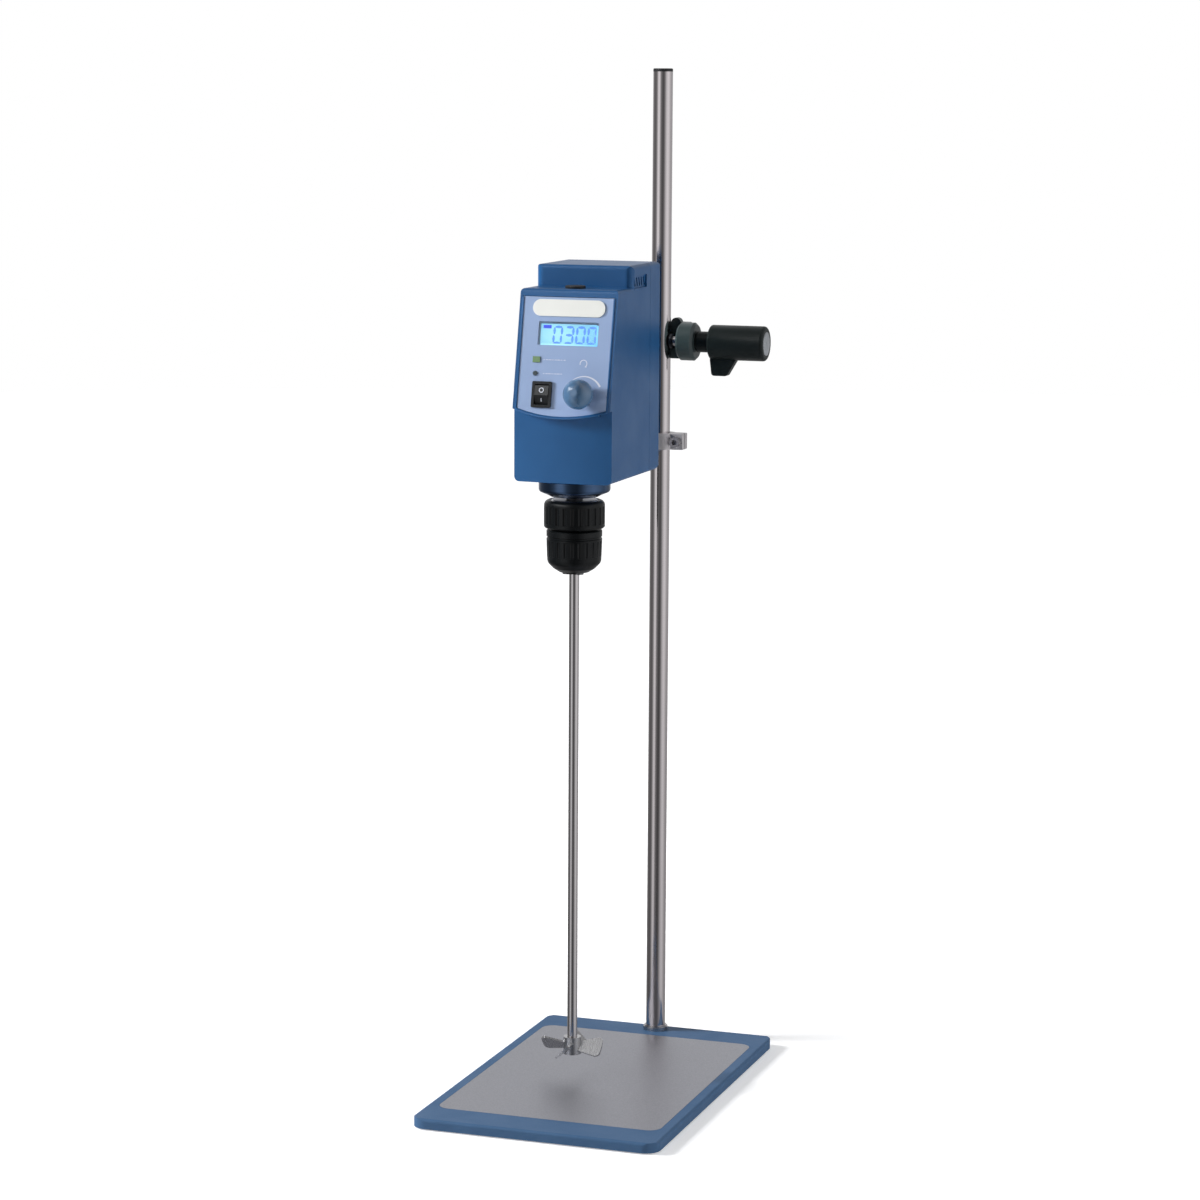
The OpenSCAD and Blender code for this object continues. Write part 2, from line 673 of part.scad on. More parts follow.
module housing() color(head_blue) {
    difference() {
        at_head() difference() {
            union() {
                head_form(0);
                lip_block();
            }
            head_form(wall);
            // Everything behind the seam belongs to the rear cover
            translate([-body_w, seam_at - seam_gap, -over]) cube([2 * body_w, body_d, full_h + 2 * over]);
            // Holes for the collar's spigot and for a shaft pushed up through the spindle
            translate([0, spindle_at, -over]) cylinder(d = spigot_hole_d, h = wall + 2 * over);
            translate([0, spindle_at, body_h - wall - over]) cylinder(d = cap_hole_d, h = wall + 2 * over);
            for (p = chassis_screw_at) translate([p[0], p[1], -over]) {
                cylinder(r = 2 + tiny, h = wall + 2 * over);
                cylinder(r = 3.8, h = 1.4 + over);
            }
            side_vents();
        }
        // Recess for the panel, and the opening behind it
        intersection() {
            on_panel() translate([-panel_half, -20, -20]) cube([2 * panel_half, 20 + panel_t, 20 + panel_h]);
            at_head() along_y(-30, 30) polygon(smile_outline(panel_half, body_h));
        }
        on_panel() translate([-panel_half + 3, -over, -3]) cube([2 * panel_half - 6, 12, panel_h - 1]);
    }
    // Posts for the screws of the rear cover
    at_head() for (x = [-post_x, post_x], z = [post_low, post_high]) translate([x, 0, z]) difference() {
        rod_y(post_r, seam_at - 24, seam_at - seam_gap);
        rod_y(1.3, seam_at - 16, seam_at + over);
    }
}
spigot_hole_d = 40.4;
cap_hole_d = 12.2;
chassis_screw_at = [[-22, 12], [22, 12], [-22, 82], [22, 82]];

module rear_cover() color(head_blue) at_head() difference() {
    union() {
        difference() {
            head_form(0);
            head_form(wall);
            translate([-body_w, -body_d, -over]) cube([2 * body_w, body_d + seam_at, full_h + 2 * over]);
        }
        // Tongue that reaches into the housing
        difference() {
            head_form(wall + tiny);
            head_form(wall + 1.4);
            translate([-body_w, -body_d, -over]) cube([2 * body_w, body_d + seam_at - 4, full_h + 2 * over]);
            translate([-body_w, seam_at + over, -over]) cube([2 * body_w, body_d, full_h + 2 * over]);
            for (x = [-post_x, post_x], z = [post_low, post_high]) translate([x, 0, z])
                rod_y(post_r + seat, seam_at - 10, seam_at);
            // Room for the frame's base
            translate([-29, seam_at - 10, -over]) cube([58, 20, base_top + 2 * over]);
        }
        for (x = [-post_x, post_x], z = [post_low, post_high]) translate([x, 0, z])
            rod_y(post_r, seam_at + tiny, body_d - wall / 2);
    }
    for (x = [-post_x, post_x], z = [post_low, post_high]) translate([x, 0, z]) {
        rod_y(1.6, seam_at - over, body_d + over);
        rod_y(3.2, body_d - screw_sink, body_d + over);
    }
    // Holes for the arm's boss and for the power inlet, and vents above the arm
    translate([0, 0, arm_up]) rod_y(arm_boss_r + tiny, body_d - 2 * wall, body_d + over);
    translate([0, body_d - wall, inlet_z]) cube([inlet_w - 3, 4 * wall, inlet_h - 3.4], center = true);
    for (i = [0 : 4]) translate([0, body_d, body_h - 20 + 6 * i]) cube([36, 4 * wall, 2.6], center = true);
}
arm_boss_r = 14;
inlet_z = 25;

module cover_screws() color(dark_steel) at_head()
    for (x = [-post_x, post_x], z = [post_low, post_high]) translate([x, 0, z]) {
        rod_y(1.3 - tiny, seam_at - 10, body_d - screw_sink);
        difference() {
            rod_y(2.8, body_d - screw_sink + tiny / 2, body_d - screw_sink + 2);
            for (a = [0, 90]) translate([0, body_d - screw_sink + 2, 0]) rotate([0, a, 0])
                cube([0.8, 1.6, 3.4], center = true);
        }
        rod_y(1.2, body_d - screw_sink - over, body_d - screw_sink + over);
    }

// Cast frame: base, bearing tower, shelf for the motor and the block that takes the arm
module chassis() color(cast_grey) at_head() difference() {
    union() {
        translate([0, 0, wall + tiny]) linear_extrude(base_top - wall - tiny)
            translate([0, (6 + base_end) / 2]) slab(56, base_end - 6, 5);
        translate([0, spindle_at, wall + tiny]) cylinder(r = tower_r, h = low_bearing_z + bearing_w - wall);
        translate([0, 0, shelf_low]) linear_extrude(shelf_top - shelf_low)
            translate([0, (10 + frame_end) / 2]) slab(52, frame_end - 10, 5);
        translate([0, spindle_at, shelf_low]) cylinder(r = tower_r, h = up_bearing_z + bearing_w - shelf_low);
        for (x = [-22, 22], y = [14, 80]) translate([x, y, base_top - over])
            cylinder(r = 4, h = shelf_low - base_top + 2 * over);
        // Ears that carry the supply board
        for (y = [48, 78]) translate([-supply_x + tiny, y, shelf_low]) cube([8, 6, shelf_top - shelf_low]);
        // Legs beside the power inlet, and the block above them
        for (x = [-26, 17.5]) translate([x, frame_end - 12, base_top - over])
            cube([8.5, 12, shelf_low - base_top + 2 * over]);
        translate([-22, motor_at + motor_d / 2 + over, shelf_top - over])
            cube([44, frame_end - motor_at - motor_d / 2 - over, arm_up + 18 - shelf_top]);
        translate([0, 0, arm_up]) rod_y(arm_boss_r, frame_end - over, body_d + 3);
    }
    // Bores for the seal, the two bearings and the motor's boss
    translate([0, spindle_at, 0]) {
        cylinder(r = seal_r + run, h = low_bearing_z + over);
        translate([0, 0, low_bearing_z]) cylinder(d = bearing_d + 2 * run, h = bearing_w + 3);
        translate([0, 0, shelf_low - over]) cylinder(r = seal_r, h = up_bearing_z - shelf_low + 2 * over);
        translate([0, 0, up_bearing_z]) cylinder(d = bearing_d + 2 * run, h = bearing_w + over);
    }
    translate([0, motor_at, shelf_low - over]) cylinder(r = 11 + tiny, h = shelf_top - shelf_low + 2 * over);
    for (a = [45 : 90 : 315]) translate([0, motor_at, shelf_low - over]) rotate(a)
        translate([16, 0, 0]) cylinder(r = 1.5 + tiny, h = shelf_top - shelf_low + 2 * over);
    translate([0, 0, arm_up]) rod_y(arm_r + run, body_d - arm_inside - tiny, body_d + 3 + over);
    for (p = chassis_screw_at) translate([p[0], p[1], 0]) cylinder(r = 2 + tiny, h = base_top - over);
}
frame_end = body_d - wall - 2;
base_end = frame_end - 3;
seal_r = 12;

module chassis_screws() color(dark_steel) at_head() for (p = chassis_screw_at) translate([p[0], p[1], 0]) {
    cylinder(r = 2, h = base_top - over - tiny);
    difference() {
        cylinder(r = 3.6, h = 1.3);
        translate([0, 0, -over]) cylinder(r = 1.3, h = over + 0.9, $fn = 6);
    }
}

// Panel and what sits in it
module control_panel() color(panel_violet) difference() {
    intersection() {
        at_head() union() {
            along_x(body_w) polygon([
                [panel_y(lip_h + panel_h * tilt_cos), lip_h + panel_h * tilt_cos],
                [panel_y(lip_h), lip_h],
                [panel_y(lip_h) - 2 * lip_sag * tan(lip_slope), lip_h - 2 * lip_sag],
                [panel_y(lip_h - 2 * lip_sag, panel_t - tiny), lip_h - 2 * lip_sag],
                [panel_y(lip_h + panel_h * tilt_cos, panel_t - tiny), lip_h + panel_h * tilt_cos]]);
        }
        at_head() along_y(-30, 30) polygon(smile_outline(panel_half - tiny,
            lip_h + panel_h * tilt_cos - panel_t * tilt_tan - tiny));
    }
    on_panel(display_at) panel_slab(-3 * panel_t, 3 * panel_t) square([display_w, display_h], center = true);
    on_panel(display_at) panel_slab(-0.6, 3 * panel_t) slab(display_w + 2 * display_border, display_h + 2 * display_border, 1);
    on_panel(lamp_at) panel_slab(-3 * panel_t, 3 * panel_t)
        square([lamp_w + 2 * tiny, lamp_h + 2 * tiny], center = true);
    on_panel(small_lamp_at) panel_slab(-3 * panel_t, 3 * panel_t) circle(d = lamp_d + 2 * tiny);
    on_panel(knob_at) panel_slab(-3 * panel_t, 3 * panel_t) circle(d = encoder_d + 2);
    on_panel(switch_at) panel_slab(-3 * panel_t, 3 * panel_t)
        square([switch_w - 2 + 2 * tiny, switch_h - 2 + 2 * tiny], center = true);
    on_panel(logo_at) panel_slab(-0.5, 3 * panel_t) slab(logo_w + 2 * tiny, logo_h + 2 * tiny, logo_h / 2);
}

module logo_plate() color(warm_white) on_panel(logo_at) panel_slab(-0.5, 0.7)
    slab(logo_w, logo_h, logo_h / 2 - tiny);

module display_window() color([0.75, 0.9, 0.95, 0.4]) on_panel(display_at) {
    panel_slab(-panel_t + 0.2, -0.6) square([display_w - 2 * tiny, display_h - 2 * tiny], center = true);
    panel_slab(-0.6, -0.15)
        slab(display_w + 2 * display_border - 2 * tiny, display_h + 2 * display_border - 2 * tiny, 1);
}

module display_module() color([0.5, 0.85, 0.95]) on_panel(display_at)
    panel_slab(-board_front + tiny, -panel_t - tiny) slab(display_w + 4, display_h + 6, 1.5);

module status_lamps() {
    color([0.35, 0.45, 0.25]) on_panel(lamp_at) panel_slab(-board_front + tiny, 0.6)
        square([lamp_w, lamp_h], center = true);
    color([0.12, 0.16, 0.16]) on_panel(small_lamp_at) panel_slab(-board_front + tiny, 0.6) circle(d = lamp_d);
}

module control_board() color(board_green) on_panel() difference() {
    panel_slab(-board_front - board_t, -board_front) translate([0, board_top / 2])
        square([2 * panel_half - 8, board_top - 2], center = true);
    translate([switch_at[0], 0, switch_at[1]]) panel_slab(-2 * board_front, 0)
        square([switch_w + 1, switch_h + 3], center = true);
}

module board_pillars() color(steel) for (p = pillar_at) on_panel(p)
    panel_slab(-board_front, -panel_t) circle(d = pillar_d);

module encoder_body() color(dark_steel) on_panel(knob_at) difference() {
    union() {
        panel_slab(-board_front, -2.2) square(12, center = true);
        panel_slab(-2.3, -0.2) circle(d = encoder_d + 1.6);
    }
    panel_slab(-board_front + 0.8, over) circle(d = encoder_d + 2 * run);
}

module encoder_shaft() color(steel) on_panel(knob_at)
    panel_slab(-board_front + 0.8 + push_travel + tiny, 11) circle(d = encoder_d);

// Round cap on a narrower stem, turned
module speed_knob() color(head_blue) on_panel(knob_at) rotate([90, 0, 0]) rotate_extrude() polygon(
    let (r = speed_knob_d / 2, low = push_travel + 0.5, s = speed_stem_d / 2,
        mid = low + sqrt(r * r - s * s) + 1)
    concat([[encoder_d / 2 + run, low], [s, low]],
        arc(0, mid, r, asin(-sqrt(r * r - s * s) / r), 76, 22),
        [[r * cos(76) - 1, mid + r * sin(76)], [0, mid + r * sin(76)],
            [0, 11 + tiny], [encoder_d / 2 + run, 11 + tiny]]));

// Switch: a frame with a hollow body, and two pins that carry the rocker
module switch_frame() color(rubber_black) on_panel(switch_at) {
    difference() {
        union() {
            panel_slab(tiny, 1.3) slab(switch_w, switch_h, 1);
            panel_slab(-13, 1) square([switch_w - 2, switch_h - 2], center = true);
        }
        panel_slab(-9, 2) square([rocker_w + 2 * seat, rocker_h + 2 * seat], center = true);
    }
    for (s = [0, 1]) mirror([s, 0, 0]) translate([0, rocker_depth, 0])
        rod_x(rocker_pin_r, rocker_w / 2 - 1.5, switch_w / 2 - 1.5);
}
rocker_w = switch_w - 4.8;
rocker_h = switch_h - 5;
rocker_depth = 1.5;
rocker_pin_r = 0.8;

// Convex rocker, its lower half pressed in
module power_rocker() color(chuck_black) on_panel(switch_at) translate([0, rocker_depth, 0])
    rotate([rocker_swing / 2, 0, 0]) difference() {
        along_x(rocker_w) polygon(concat(
            [[-1.7, -rocker_h / 2 + 0.3], [-3.6, 0], [-1.7, rocker_h / 2 - 0.3]],
            [[1.5, rocker_h / 2 - 1], [3.6, 3], [3.6, -3], [1.5, -rocker_h / 2 + 1]]));
        rod_x(rocker_pin_r + run, -switch_w, switch_w);
    }

// Supply board beside the motor, with two capacitors
module power_board() at_head() {
    color(board_green) translate([-supply_x - board_t, 40, 14]) cube([board_t, 50, 92]);
    color(rubber_black) for (z = [70, 94]) translate([-supply_x, 50, z]) rod_x(5, -board_t / 2, 7);
}
supply_x = half_w - wall - 5;

module power_inlet() color(rubber_black) at_head() translate([0, body_d, inlet_z]) difference() {
    union() {
        along_y(tiny, 2.6) slab(inlet_w, inlet_h, 2);
        along_y(-inlet_depth, tiny) square([inlet_w - 3.4, inlet_h - 3.8], center = true);
    }
    difference() {
        along_y(-inlet_depth + 2, 4) polygon([[-10, -6.5], [10, -6.5], [10, 3], [6.5, 6.5], [-6.5, 6.5], [-10, 3]]);
        for (p = [[-7, -1.5], [0, 2], [7, -1.5]]) translate([p[0], -inlet_depth, p[1] - 2]) cube([2, 14, 4]);
    }
}

// Motor
module motor_case() color(dark_steel) at_motor(motor_z) difference() {
    union() {
        cylinder(d = motor_d, h = motor_l);
        translate([0, 0, -3]) cylinder(r = 11, h = 4);
    }
    for (a = [45 : 90 : 315]) rotate(a) translate([16, 0, -over]) cylinder(r = 1.5 + tiny, h = over + 3);
    translate([0, 0, 4]) cylinder(r = rotor_r + 0.5, h = motor_l - 8);
    translate([0, 0, -4]) cylinder(d = motor_shaft_d + 2 * run, h = motor_l + 2);
}

module motor_screws() color(steel) at_motor(shelf_low) for (a = [45 : 90 : 315]) rotate(a)
    translate([16, 0, 0]) {
        translate([0, 0, -1.8 - tiny]) cylinder(r = 2.8, h = 1.8);
        translate([0, 0, -over]) cylinder(r = 1.5, h = over + shelf_top - shelf_low + 2.4);
    }

module motor_rotor() color(copper) at_motor(motor_z) {
    translate([0, 0, 6]) cylinder(r = rotor_r, h = motor_l - 12);
    translate([0, 0, -24]) cylinder(d = motor_shaft_d, h = motor_l + 20);
}

// Outline of a pulley's teeth: each tooth has two corners at its root and two at its tip
function tooth_outline(r, teeth) = [for (i = [0 : teeth - 1], c = [[-0.36, -1.1], [-0.24, -0.3],
    [0.24, -0.3], [0.36, -1.1]]) let (a = 360 * (i + c[0]) / teeth) (r + c[1]) * [cos(a), sin(a)]];

// Toothed pulley with flanges and a bore
module toothed(r, teeth, bore) difference() {
    union() {
        translate([0, 0, flange_t - 0.2]) linear_extrude(belt_w + 1.4) polygon(tooth_outline(r, teeth));
        for (z = [0, belt_w + 1 + flange_t]) translate([0, 0, z]) cylinder(r = r + 1.6, h = flange_t);
    }
    translate([0, 0, -over]) cylinder(r = bore, h = belt_w + 8);
}
flange_t = 1.5;
module motor_pulley() color(cast_grey) at_motor(belt_z - 2)
    toothed(motor_pulley_r, motor_teeth, motor_shaft_d / 2 + tiny / 2);
module spindle_pulley() color(cast_grey) at_spindle(belt_z - 2)
    toothed(spindle_pulley_r, spindle_teeth, spindle_d / 2 + tiny / 2);

// Belt: a band round both pulleys
module belt_loop(extra) hull() {
    circle(r = spindle_pulley_r + extra);
    translate([0, belt_centres]) circle(r = motor_pulley_r + extra);
}
module drive_belt() color(rubber_black) at_spindle(belt_z) linear_extrude(belt_w) difference() {
    belt_loop(belt_t + tiny);
    belt_loop(tiny);
}

// Bearings, seal, collar and cap
module bearing() difference() {
    cylinder(d = bearing_d, h = bearing_w);
    translate([0, 0, -over]) cylinder(d = spindle_d + 2 * run, h = bearing_w + 2 * over);
    for (z = [-over, bearing_w - 0.6]) translate([0, 0, z]) difference() {
        cylinder(d = bearing_d - 5, h = 0.6 + over);
        cylinder(d = spindle_d + 5, h = 0.6 + over);
    }
}
module upper_bearing() color(steel) at_spindle(up_bearing_z) bearing();
module lower_bearing() color(steel) at_spindle(low_bearing_z + tiny) bearing();

module spindle_seal() color(rubber_black) at_spindle(wall + 2 * tiny) difference() {
    cylinder(r = seal_r, h = low_bearing_z - wall - 2 * tiny);
    translate([0, 0, -over]) cylinder(d = spindle_d + 2 * run, h = low_bearing_z + over);
}

module bearing_collar() color(collar_dark) at_spindle() difference() {
    rotate_extrude() polygon(concat(
        [[0, wall], [spigot_hole_d / 2 - 0.2, wall], [spigot_hole_d / 2 - 0.2, -tiny], [collar_d / 2 - 1, -tiny]],
        arc(collar_d / 2 - 1, -1 - tiny, 1, 90, 0, 4),
        arc(collar_d / 2 - 3, -collar_h + 1, 3, 0, -50, 5),
        [[collar_end_d / 2 + 1.5, -collar_h - collar_taper_h + 0.8],
            [collar_end_d / 2, -collar_h - collar_taper_h], [0, -collar_h - collar_taper_h]]));
    translate([0, 0, -collar_h - collar_taper_h - over]) cylinder(d = spindle_d + 1, h = 40);
}

module spindle_cap() color(rubber_black) at_spindle(body_h) {
    rotate_extrude() polygon(concat(
        [[0, tiny], [7.9, tiny]], arc(7, 1.2, 1, 0, 90, 5), [[0, 2.2]]));
    translate([0, 0, -wall - 1.5]) cylinder(d = cap_hole_d - 2 * tiny, h = wall + 1.5 + over);
}

// Hollow spindle with the thread end that carries the chuck
module spindle() color(steel) at_spindle() difference() {
    union() {
        translate([0, 0, neck_z + 2]) cylinder(d = spindle_d, h = spindle_top - neck_z - 2);
        translate([0, 0, neck_z - chuck_gap - 14]) cylinder(d = chuck_neck_d, h = chuck_gap + 17);
    }
    translate([0, 0, neck_z - 40]) cylinder(d = spindle_bore, h = spindle_top - neck_z + 80);
}
neck_z = -collar_h - collar_taper_h;

// Chuck
// Axis of a jaw, from its tip at the nose upwards and outwards
module on_jaw(i) rotate(90 + 120 * i) translate([jaw_tip_r, 0, -chuck_l]) rotate([0, jaw_angle, 0]) children();

module chuck_body() color(dark_steel) at_chuck() difference() {
    rotate_extrude() polygon([[0, 0], [chuck_body_r - 1, 0], [chuck_body_r, -1],
        [chuck_body_r, -shoulder + 3], [chuck_body_r - 1.6, -shoulder + 1], [nose_r, -chuck_l + 0.4], [0, -chuck_l + 0.4]]);
    translate([0, 0, -14.2]) cylinder(d = chuck_neck_d + tiny, h = 20);
    translate([0, 0, -chuck_l - over]) cylinder(d = spindle_bore + 0.2, h = chuck_l);
    for (i = [0 : 2]) on_jaw(i) translate([0, 0, -10]) cylinder(r = jaw_r + run, h = 10 + jaw_l + jaw_travel + over);
}

// Flutes cut along a sleeve
module flute_cuts(r, z0, z1) for (i = [0 : flutes - 1]) rotate(360 * i / flutes)
    translate([r + 2.2 - flute_depth, 0, z0]) cylinder(r = 2.2, h = z1 - z0, $fn = 24);

module chuck_rear_sleeve() color(chuck_black) at_chuck() difference() {
    rotate_extrude() polygon(let (r = rear_sleeve_d / 2, b = chuck_body_r + tiny) concat(
        [[b, -1.2], [r - 5, -0.8]],
        arc(r - 4, -4.4, 4, 80, 0, 7),
        [[r, -rear_sleeve_l + 1], [r - 1, -rear_sleeve_l], [b, -rear_sleeve_l]]));
    flute_cuts(rear_sleeve_d / 2, -rear_sleeve_l + 3.5, -5);
}

module chuck_front_sleeve() color(chuck_black) at_chuck() difference() {
    rotate_extrude() polygon(let (r = front_sleeve_d / 2, b = chuck_body_r + seat) concat(
        [[b, -sleeve_split], [r - 0.8, -sleeve_split], [r, -sleeve_split - 0.8]],
        [[r, -sleeve_split - 5], [r - 0.7, -sleeve_split - 5.5], [r - 0.7, -sleeve_split - 6.5], [r, -sleeve_split - 7]],
        arc(r - 6.6, -shoulder, 6, 0, -44, 7),
        [[nose_r + 8.8, -chuck_l + 4.6], [nose_r + 4.2, -chuck_l + 1.7], [nose_r + 2.8, -chuck_l + 2],
            [chuck_body_r - 1.2, -shoulder + 0.4], [b, -shoulder + 2.6]]));
    flute_cuts(front_sleeve_d / 2, -shoulder + 2.5, -sleeve_split - 8.5);
}

// Jaw: an inclined pin with a flat that grips the shaft
module jaw(i) color(steel) at_chuck() intersection() {
    on_jaw(i) translate([0, 0, -4]) cylinder(r = jaw_r, h = jaw_l + 4);
    rotate(90 + 120 * i) translate([shaft_d / 2 + tiny, -jaw_r - over, -chuck_l])
        cube([chuck_body_r, 2 * jaw_r + 2 * over, chuck_l]);
}
module chuck_jaw_1() jaw(0);
module chuck_jaw_2() jaw(1);
module chuck_jaw_3() jaw(2);

// Stirring shaft and propeller
module stirring_shaft() color(steel) translate([spindle_x, spindle_y, shaft_end_z]) {
    translate([0, 0, 0.8]) cylinder(d = shaft_d, h = shaft_l - 1.6);
    cylinder(d1 = shaft_d - 1.6, d2 = shaft_d, h = 0.8);
    translate([0, 0, shaft_l - 0.8]) cylinder(d1 = shaft_d, d2 = shaft_d - 1.6, h = 0.8);
}

module impeller() color(steel) translate([spindle_x, spindle_y, shaft_end_z + 1]) difference() {
    union() {
        cylinder(d = hub_d, h = hub_h);
        for (a = [0 : 90 : 270]) rotate(a) intersection() {
            translate([0, 0, hub_h / 2]) rotate([blade_pitch, 0, 0]) translate([0, -blade_w / 2, -blade_t / 2])
                linear_extrude(blade_t) polygon(concat([[0, blade_w / 2 - 4], [hub_d / 2, blade_w / 2 - 4]],
                    [[0, blade_w / 2 + 4], [hub_d / 2, blade_w / 2 + 4]],
                    arc(prop_d / 2 - 4, blade_w - 4, 4, 90, 0, 6), arc(prop_d / 2 - 4, 4, 4, 0, -90, 6)));
            cylinder(d = prop_d, h = 3 * hub_h, center = true);
        }
    }
    translate([0, 0, -over]) cylinder(d = shaft_d + tiny, h = hub_h + 2 * over);
    translate([0, 0, hub_h - 3]) rotate([0, 0, 45]) rod_x(1.5 + tiny / 2, 0, hub_d);
}

module impeller_screw() color(dark_steel) translate([spindle_x, spindle_y, shaft_end_z + 1 + hub_h - 3])
    rotate([0, 0, 45]) difference() {
        rod_x(1.5, shaft_d / 2 + tiny, hub_d / 2 - 0.2);
        translate([hub_d / 2 - 1.4, 0, 0]) rotate([0, 90, 0]) cylinder(r = 0.8, h = 3, $fn = 6);
    }

base_plate();
base_sheet();
rubber_feet();
rod_ring();
rod_washer();
rod_nut();
stand_rod();
rod_cap();
stop_ring();
ring_screw();
clamp_body();
rod_pad();
rod_screw();
rod_knob();
arm_pad();
arm_screw();
arm_knob();
mounting_arm();
housing();
rear_cover();
cover_screws();
chassis();
chassis_screws();
control_panel();
logo_plate();
display_window();
display_module();
status_lamps();
control_board();
board_pillars();
encoder_body();
encoder_shaft();
speed_knob();
switch_frame();
power_rocker();
power_board();
power_inlet();
motor_case();
motor_screws();
motor_rotor();
motor_pulley();
drive_belt();
upper_bearing();
lower_bearing();
spindle_seal();
bearing_collar();
spindle_cap();
spindle();
spindle_pulley();
chuck_body();
chuck_rear_sleeve();
chuck_front_sleeve();
chuck_jaw_1();
chuck_jaw_2();
chuck_jaw_3();
stirring_shaft();
impeller();
impeller_screw();
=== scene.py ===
# %% [markdown]
# # An overhead stirrer on its plate stand
# This lesson dresses a finished CAD model of a laboratory stirrer. The model arrives as a fixed frame:
# each part already stands in its place, in metres, with the origin on the bench under the plate.
# We give every part a surface made with nodes, add the small things that a CAD model leaves out,
# and set up a camera and soft studio light.

# %% Load the frame
import json
import math
import bmesh
import bpy
from mathutils import Matrix, Vector


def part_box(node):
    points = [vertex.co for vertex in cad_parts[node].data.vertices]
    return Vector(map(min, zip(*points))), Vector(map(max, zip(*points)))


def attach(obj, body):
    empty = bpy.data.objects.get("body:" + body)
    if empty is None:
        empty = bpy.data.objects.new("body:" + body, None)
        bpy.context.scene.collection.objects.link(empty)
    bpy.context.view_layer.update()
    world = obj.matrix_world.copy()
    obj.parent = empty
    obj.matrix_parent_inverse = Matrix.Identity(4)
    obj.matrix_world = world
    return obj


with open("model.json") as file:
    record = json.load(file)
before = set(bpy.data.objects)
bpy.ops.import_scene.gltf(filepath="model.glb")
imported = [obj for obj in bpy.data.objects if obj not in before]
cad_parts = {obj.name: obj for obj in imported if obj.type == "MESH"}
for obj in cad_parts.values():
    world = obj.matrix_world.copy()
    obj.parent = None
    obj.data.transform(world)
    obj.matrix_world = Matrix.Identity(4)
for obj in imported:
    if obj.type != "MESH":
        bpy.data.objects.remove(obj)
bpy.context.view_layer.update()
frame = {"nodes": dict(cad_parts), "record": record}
mm = 0.001

# %% [markdown]
# ## The camera
# The stirrer is photographed from the front right with a long lens, from a little above its head.
# We write down where the camera stands and its three turns, and build its axes from them, so that the
# picture of the model falls on the picture of the real object. Typing the turns as Euler angles would do
# the same, but the three axes show plainly which way the camera looks and which way is up in its picture.

# %% Place the camera
yaw, pitch, roll = (math.radians(a) for a in (18.997, 8.803, 0.314))
eye = Vector((0.88486, -2.57895, 0.81697))
ahead = Vector((-math.sin(yaw) * math.cos(pitch), math.cos(yaw) * math.cos(pitch), -math.sin(pitch)))
right = Vector((math.cos(yaw), math.sin(yaw), 0))
up = right.cross(ahead)
right, up = (right * math.cos(roll) + up * math.sin(roll), up * math.cos(roll) - right * math.sin(roll))

camera_data = bpy.data.cameras.new("camera")
camera_data.sensor_width = 36
camera_data.lens = 105
camera = bpy.data.objects.new("camera", camera_data)
camera.matrix_world = Matrix((right, up, -ahead)).transposed().to_4x4()
camera.matrix_world.translation = eye
bpy.context.collection.objects.link(camera)
bpy.context.scene.camera = camera
bpy.context.scene.view_settings.view_transform = "Standard"
print("camera is", round(eye.length, 2), "m from the origin")

# %% [markdown]
# ## Colours and node groups
# Colours are read off a screen as 0 to 255, but shaders work in linear light, so `tint` converts them.
# `add` makes a node, sets it up and joins or fills its inputs in one call. A Mix node has the same socket
# names for numbers and for colours, so its colour sockets are reached by number, which `colour_mix` hides.

# %% Helpers for colours and nodes
def tint(r, g, b):
    def linear(c):
        c /= 255
        return c / 12.92 if c <= 0.04045 else ((c + 0.055) / 1.055) ** 2.4
    return (linear(r), linear(g), linear(b), 1)


def add(tree, kind, links=(), **settings):
    node = tree.nodes.new("ShaderNode" + kind)
    for key, value in settings.items():
        setattr(node, key, value)
    for socket, source in dict(links).items():
        if hasattr(source, "is_output"):
            tree.links.new(source, node.inputs[socket])
        else:
            node.inputs[socket].default_value = source
    return node


def colour_mix(tree, factor, first, second):
    return add(tree, "Mix", {"Factor": factor, 6: first, 7: second}, data_type="RGBA").outputs[2]


print("a middle grey of 128 is", round(tint(128, 128, 128)[0], 3), "in linear light")

# %% [markdown]
# Two effects come back in nearly every material, so each is built once as a node group: `mottle` for
# coated and moulded surfaces, and `drawn_lines` for turned, ground or brushed metal. Both end alike. A
# pattern picks between two close colours and swings the roughness, and a relief tips the surface a
# little. That shared end, and the sockets that every group has, are written here as functions.

# %% What the two groups share
def new_group(name, inputs):
    group = bpy.data.node_groups.new(name, "ShaderNodeTree")
    for label, kind, value in inputs:
        socket = group.interface.new_socket(name=label, in_out="INPUT", socket_type="NodeSocket" + kind)
        socket.default_value = value
    for label, kind in (("Color", "Color"), ("Roughness", "Float"), ("Normal", "Vector")):
        group.interface.new_socket(name=label, in_out="OUTPUT", socket_type="NodeSocket" + kind)
    place = add(group, "TexCoord").outputs["Object"]
    return group, group.nodes.new("NodeGroupInput"), place


def close_group(group, given, pattern, relief, relief_height):
    colour = colour_mix(group, pattern, given.outputs["Color"], given.outputs["Shade"])
    swing = add(group, "MapRange", {"Value": pattern, "From Min": 0.3, "From Max": 0.7,
                                    "To Min": -0.5, "To Max": 0.5})
    rough = add(group, "Math", {0: swing.outputs["Result"], 1: given.outputs["Spread"],
                                2: given.outputs["Roughness"]}, operation="MULTIPLY_ADD")
    bump = add(group, "Bump", {"Height": relief, "Strength": given.outputs["Depth"],
                               "Distance": relief_height})
    result = group.nodes.new("NodeGroupOutput")
    group.links.new(colour, result.inputs["Color"])
    group.links.new(rough.outputs[0], result.inputs["Roughness"])
    group.links.new(bump.outputs["Normal"], result.inputs["Normal"])
    print("group", group.name, "has", len(group.nodes), "nodes")


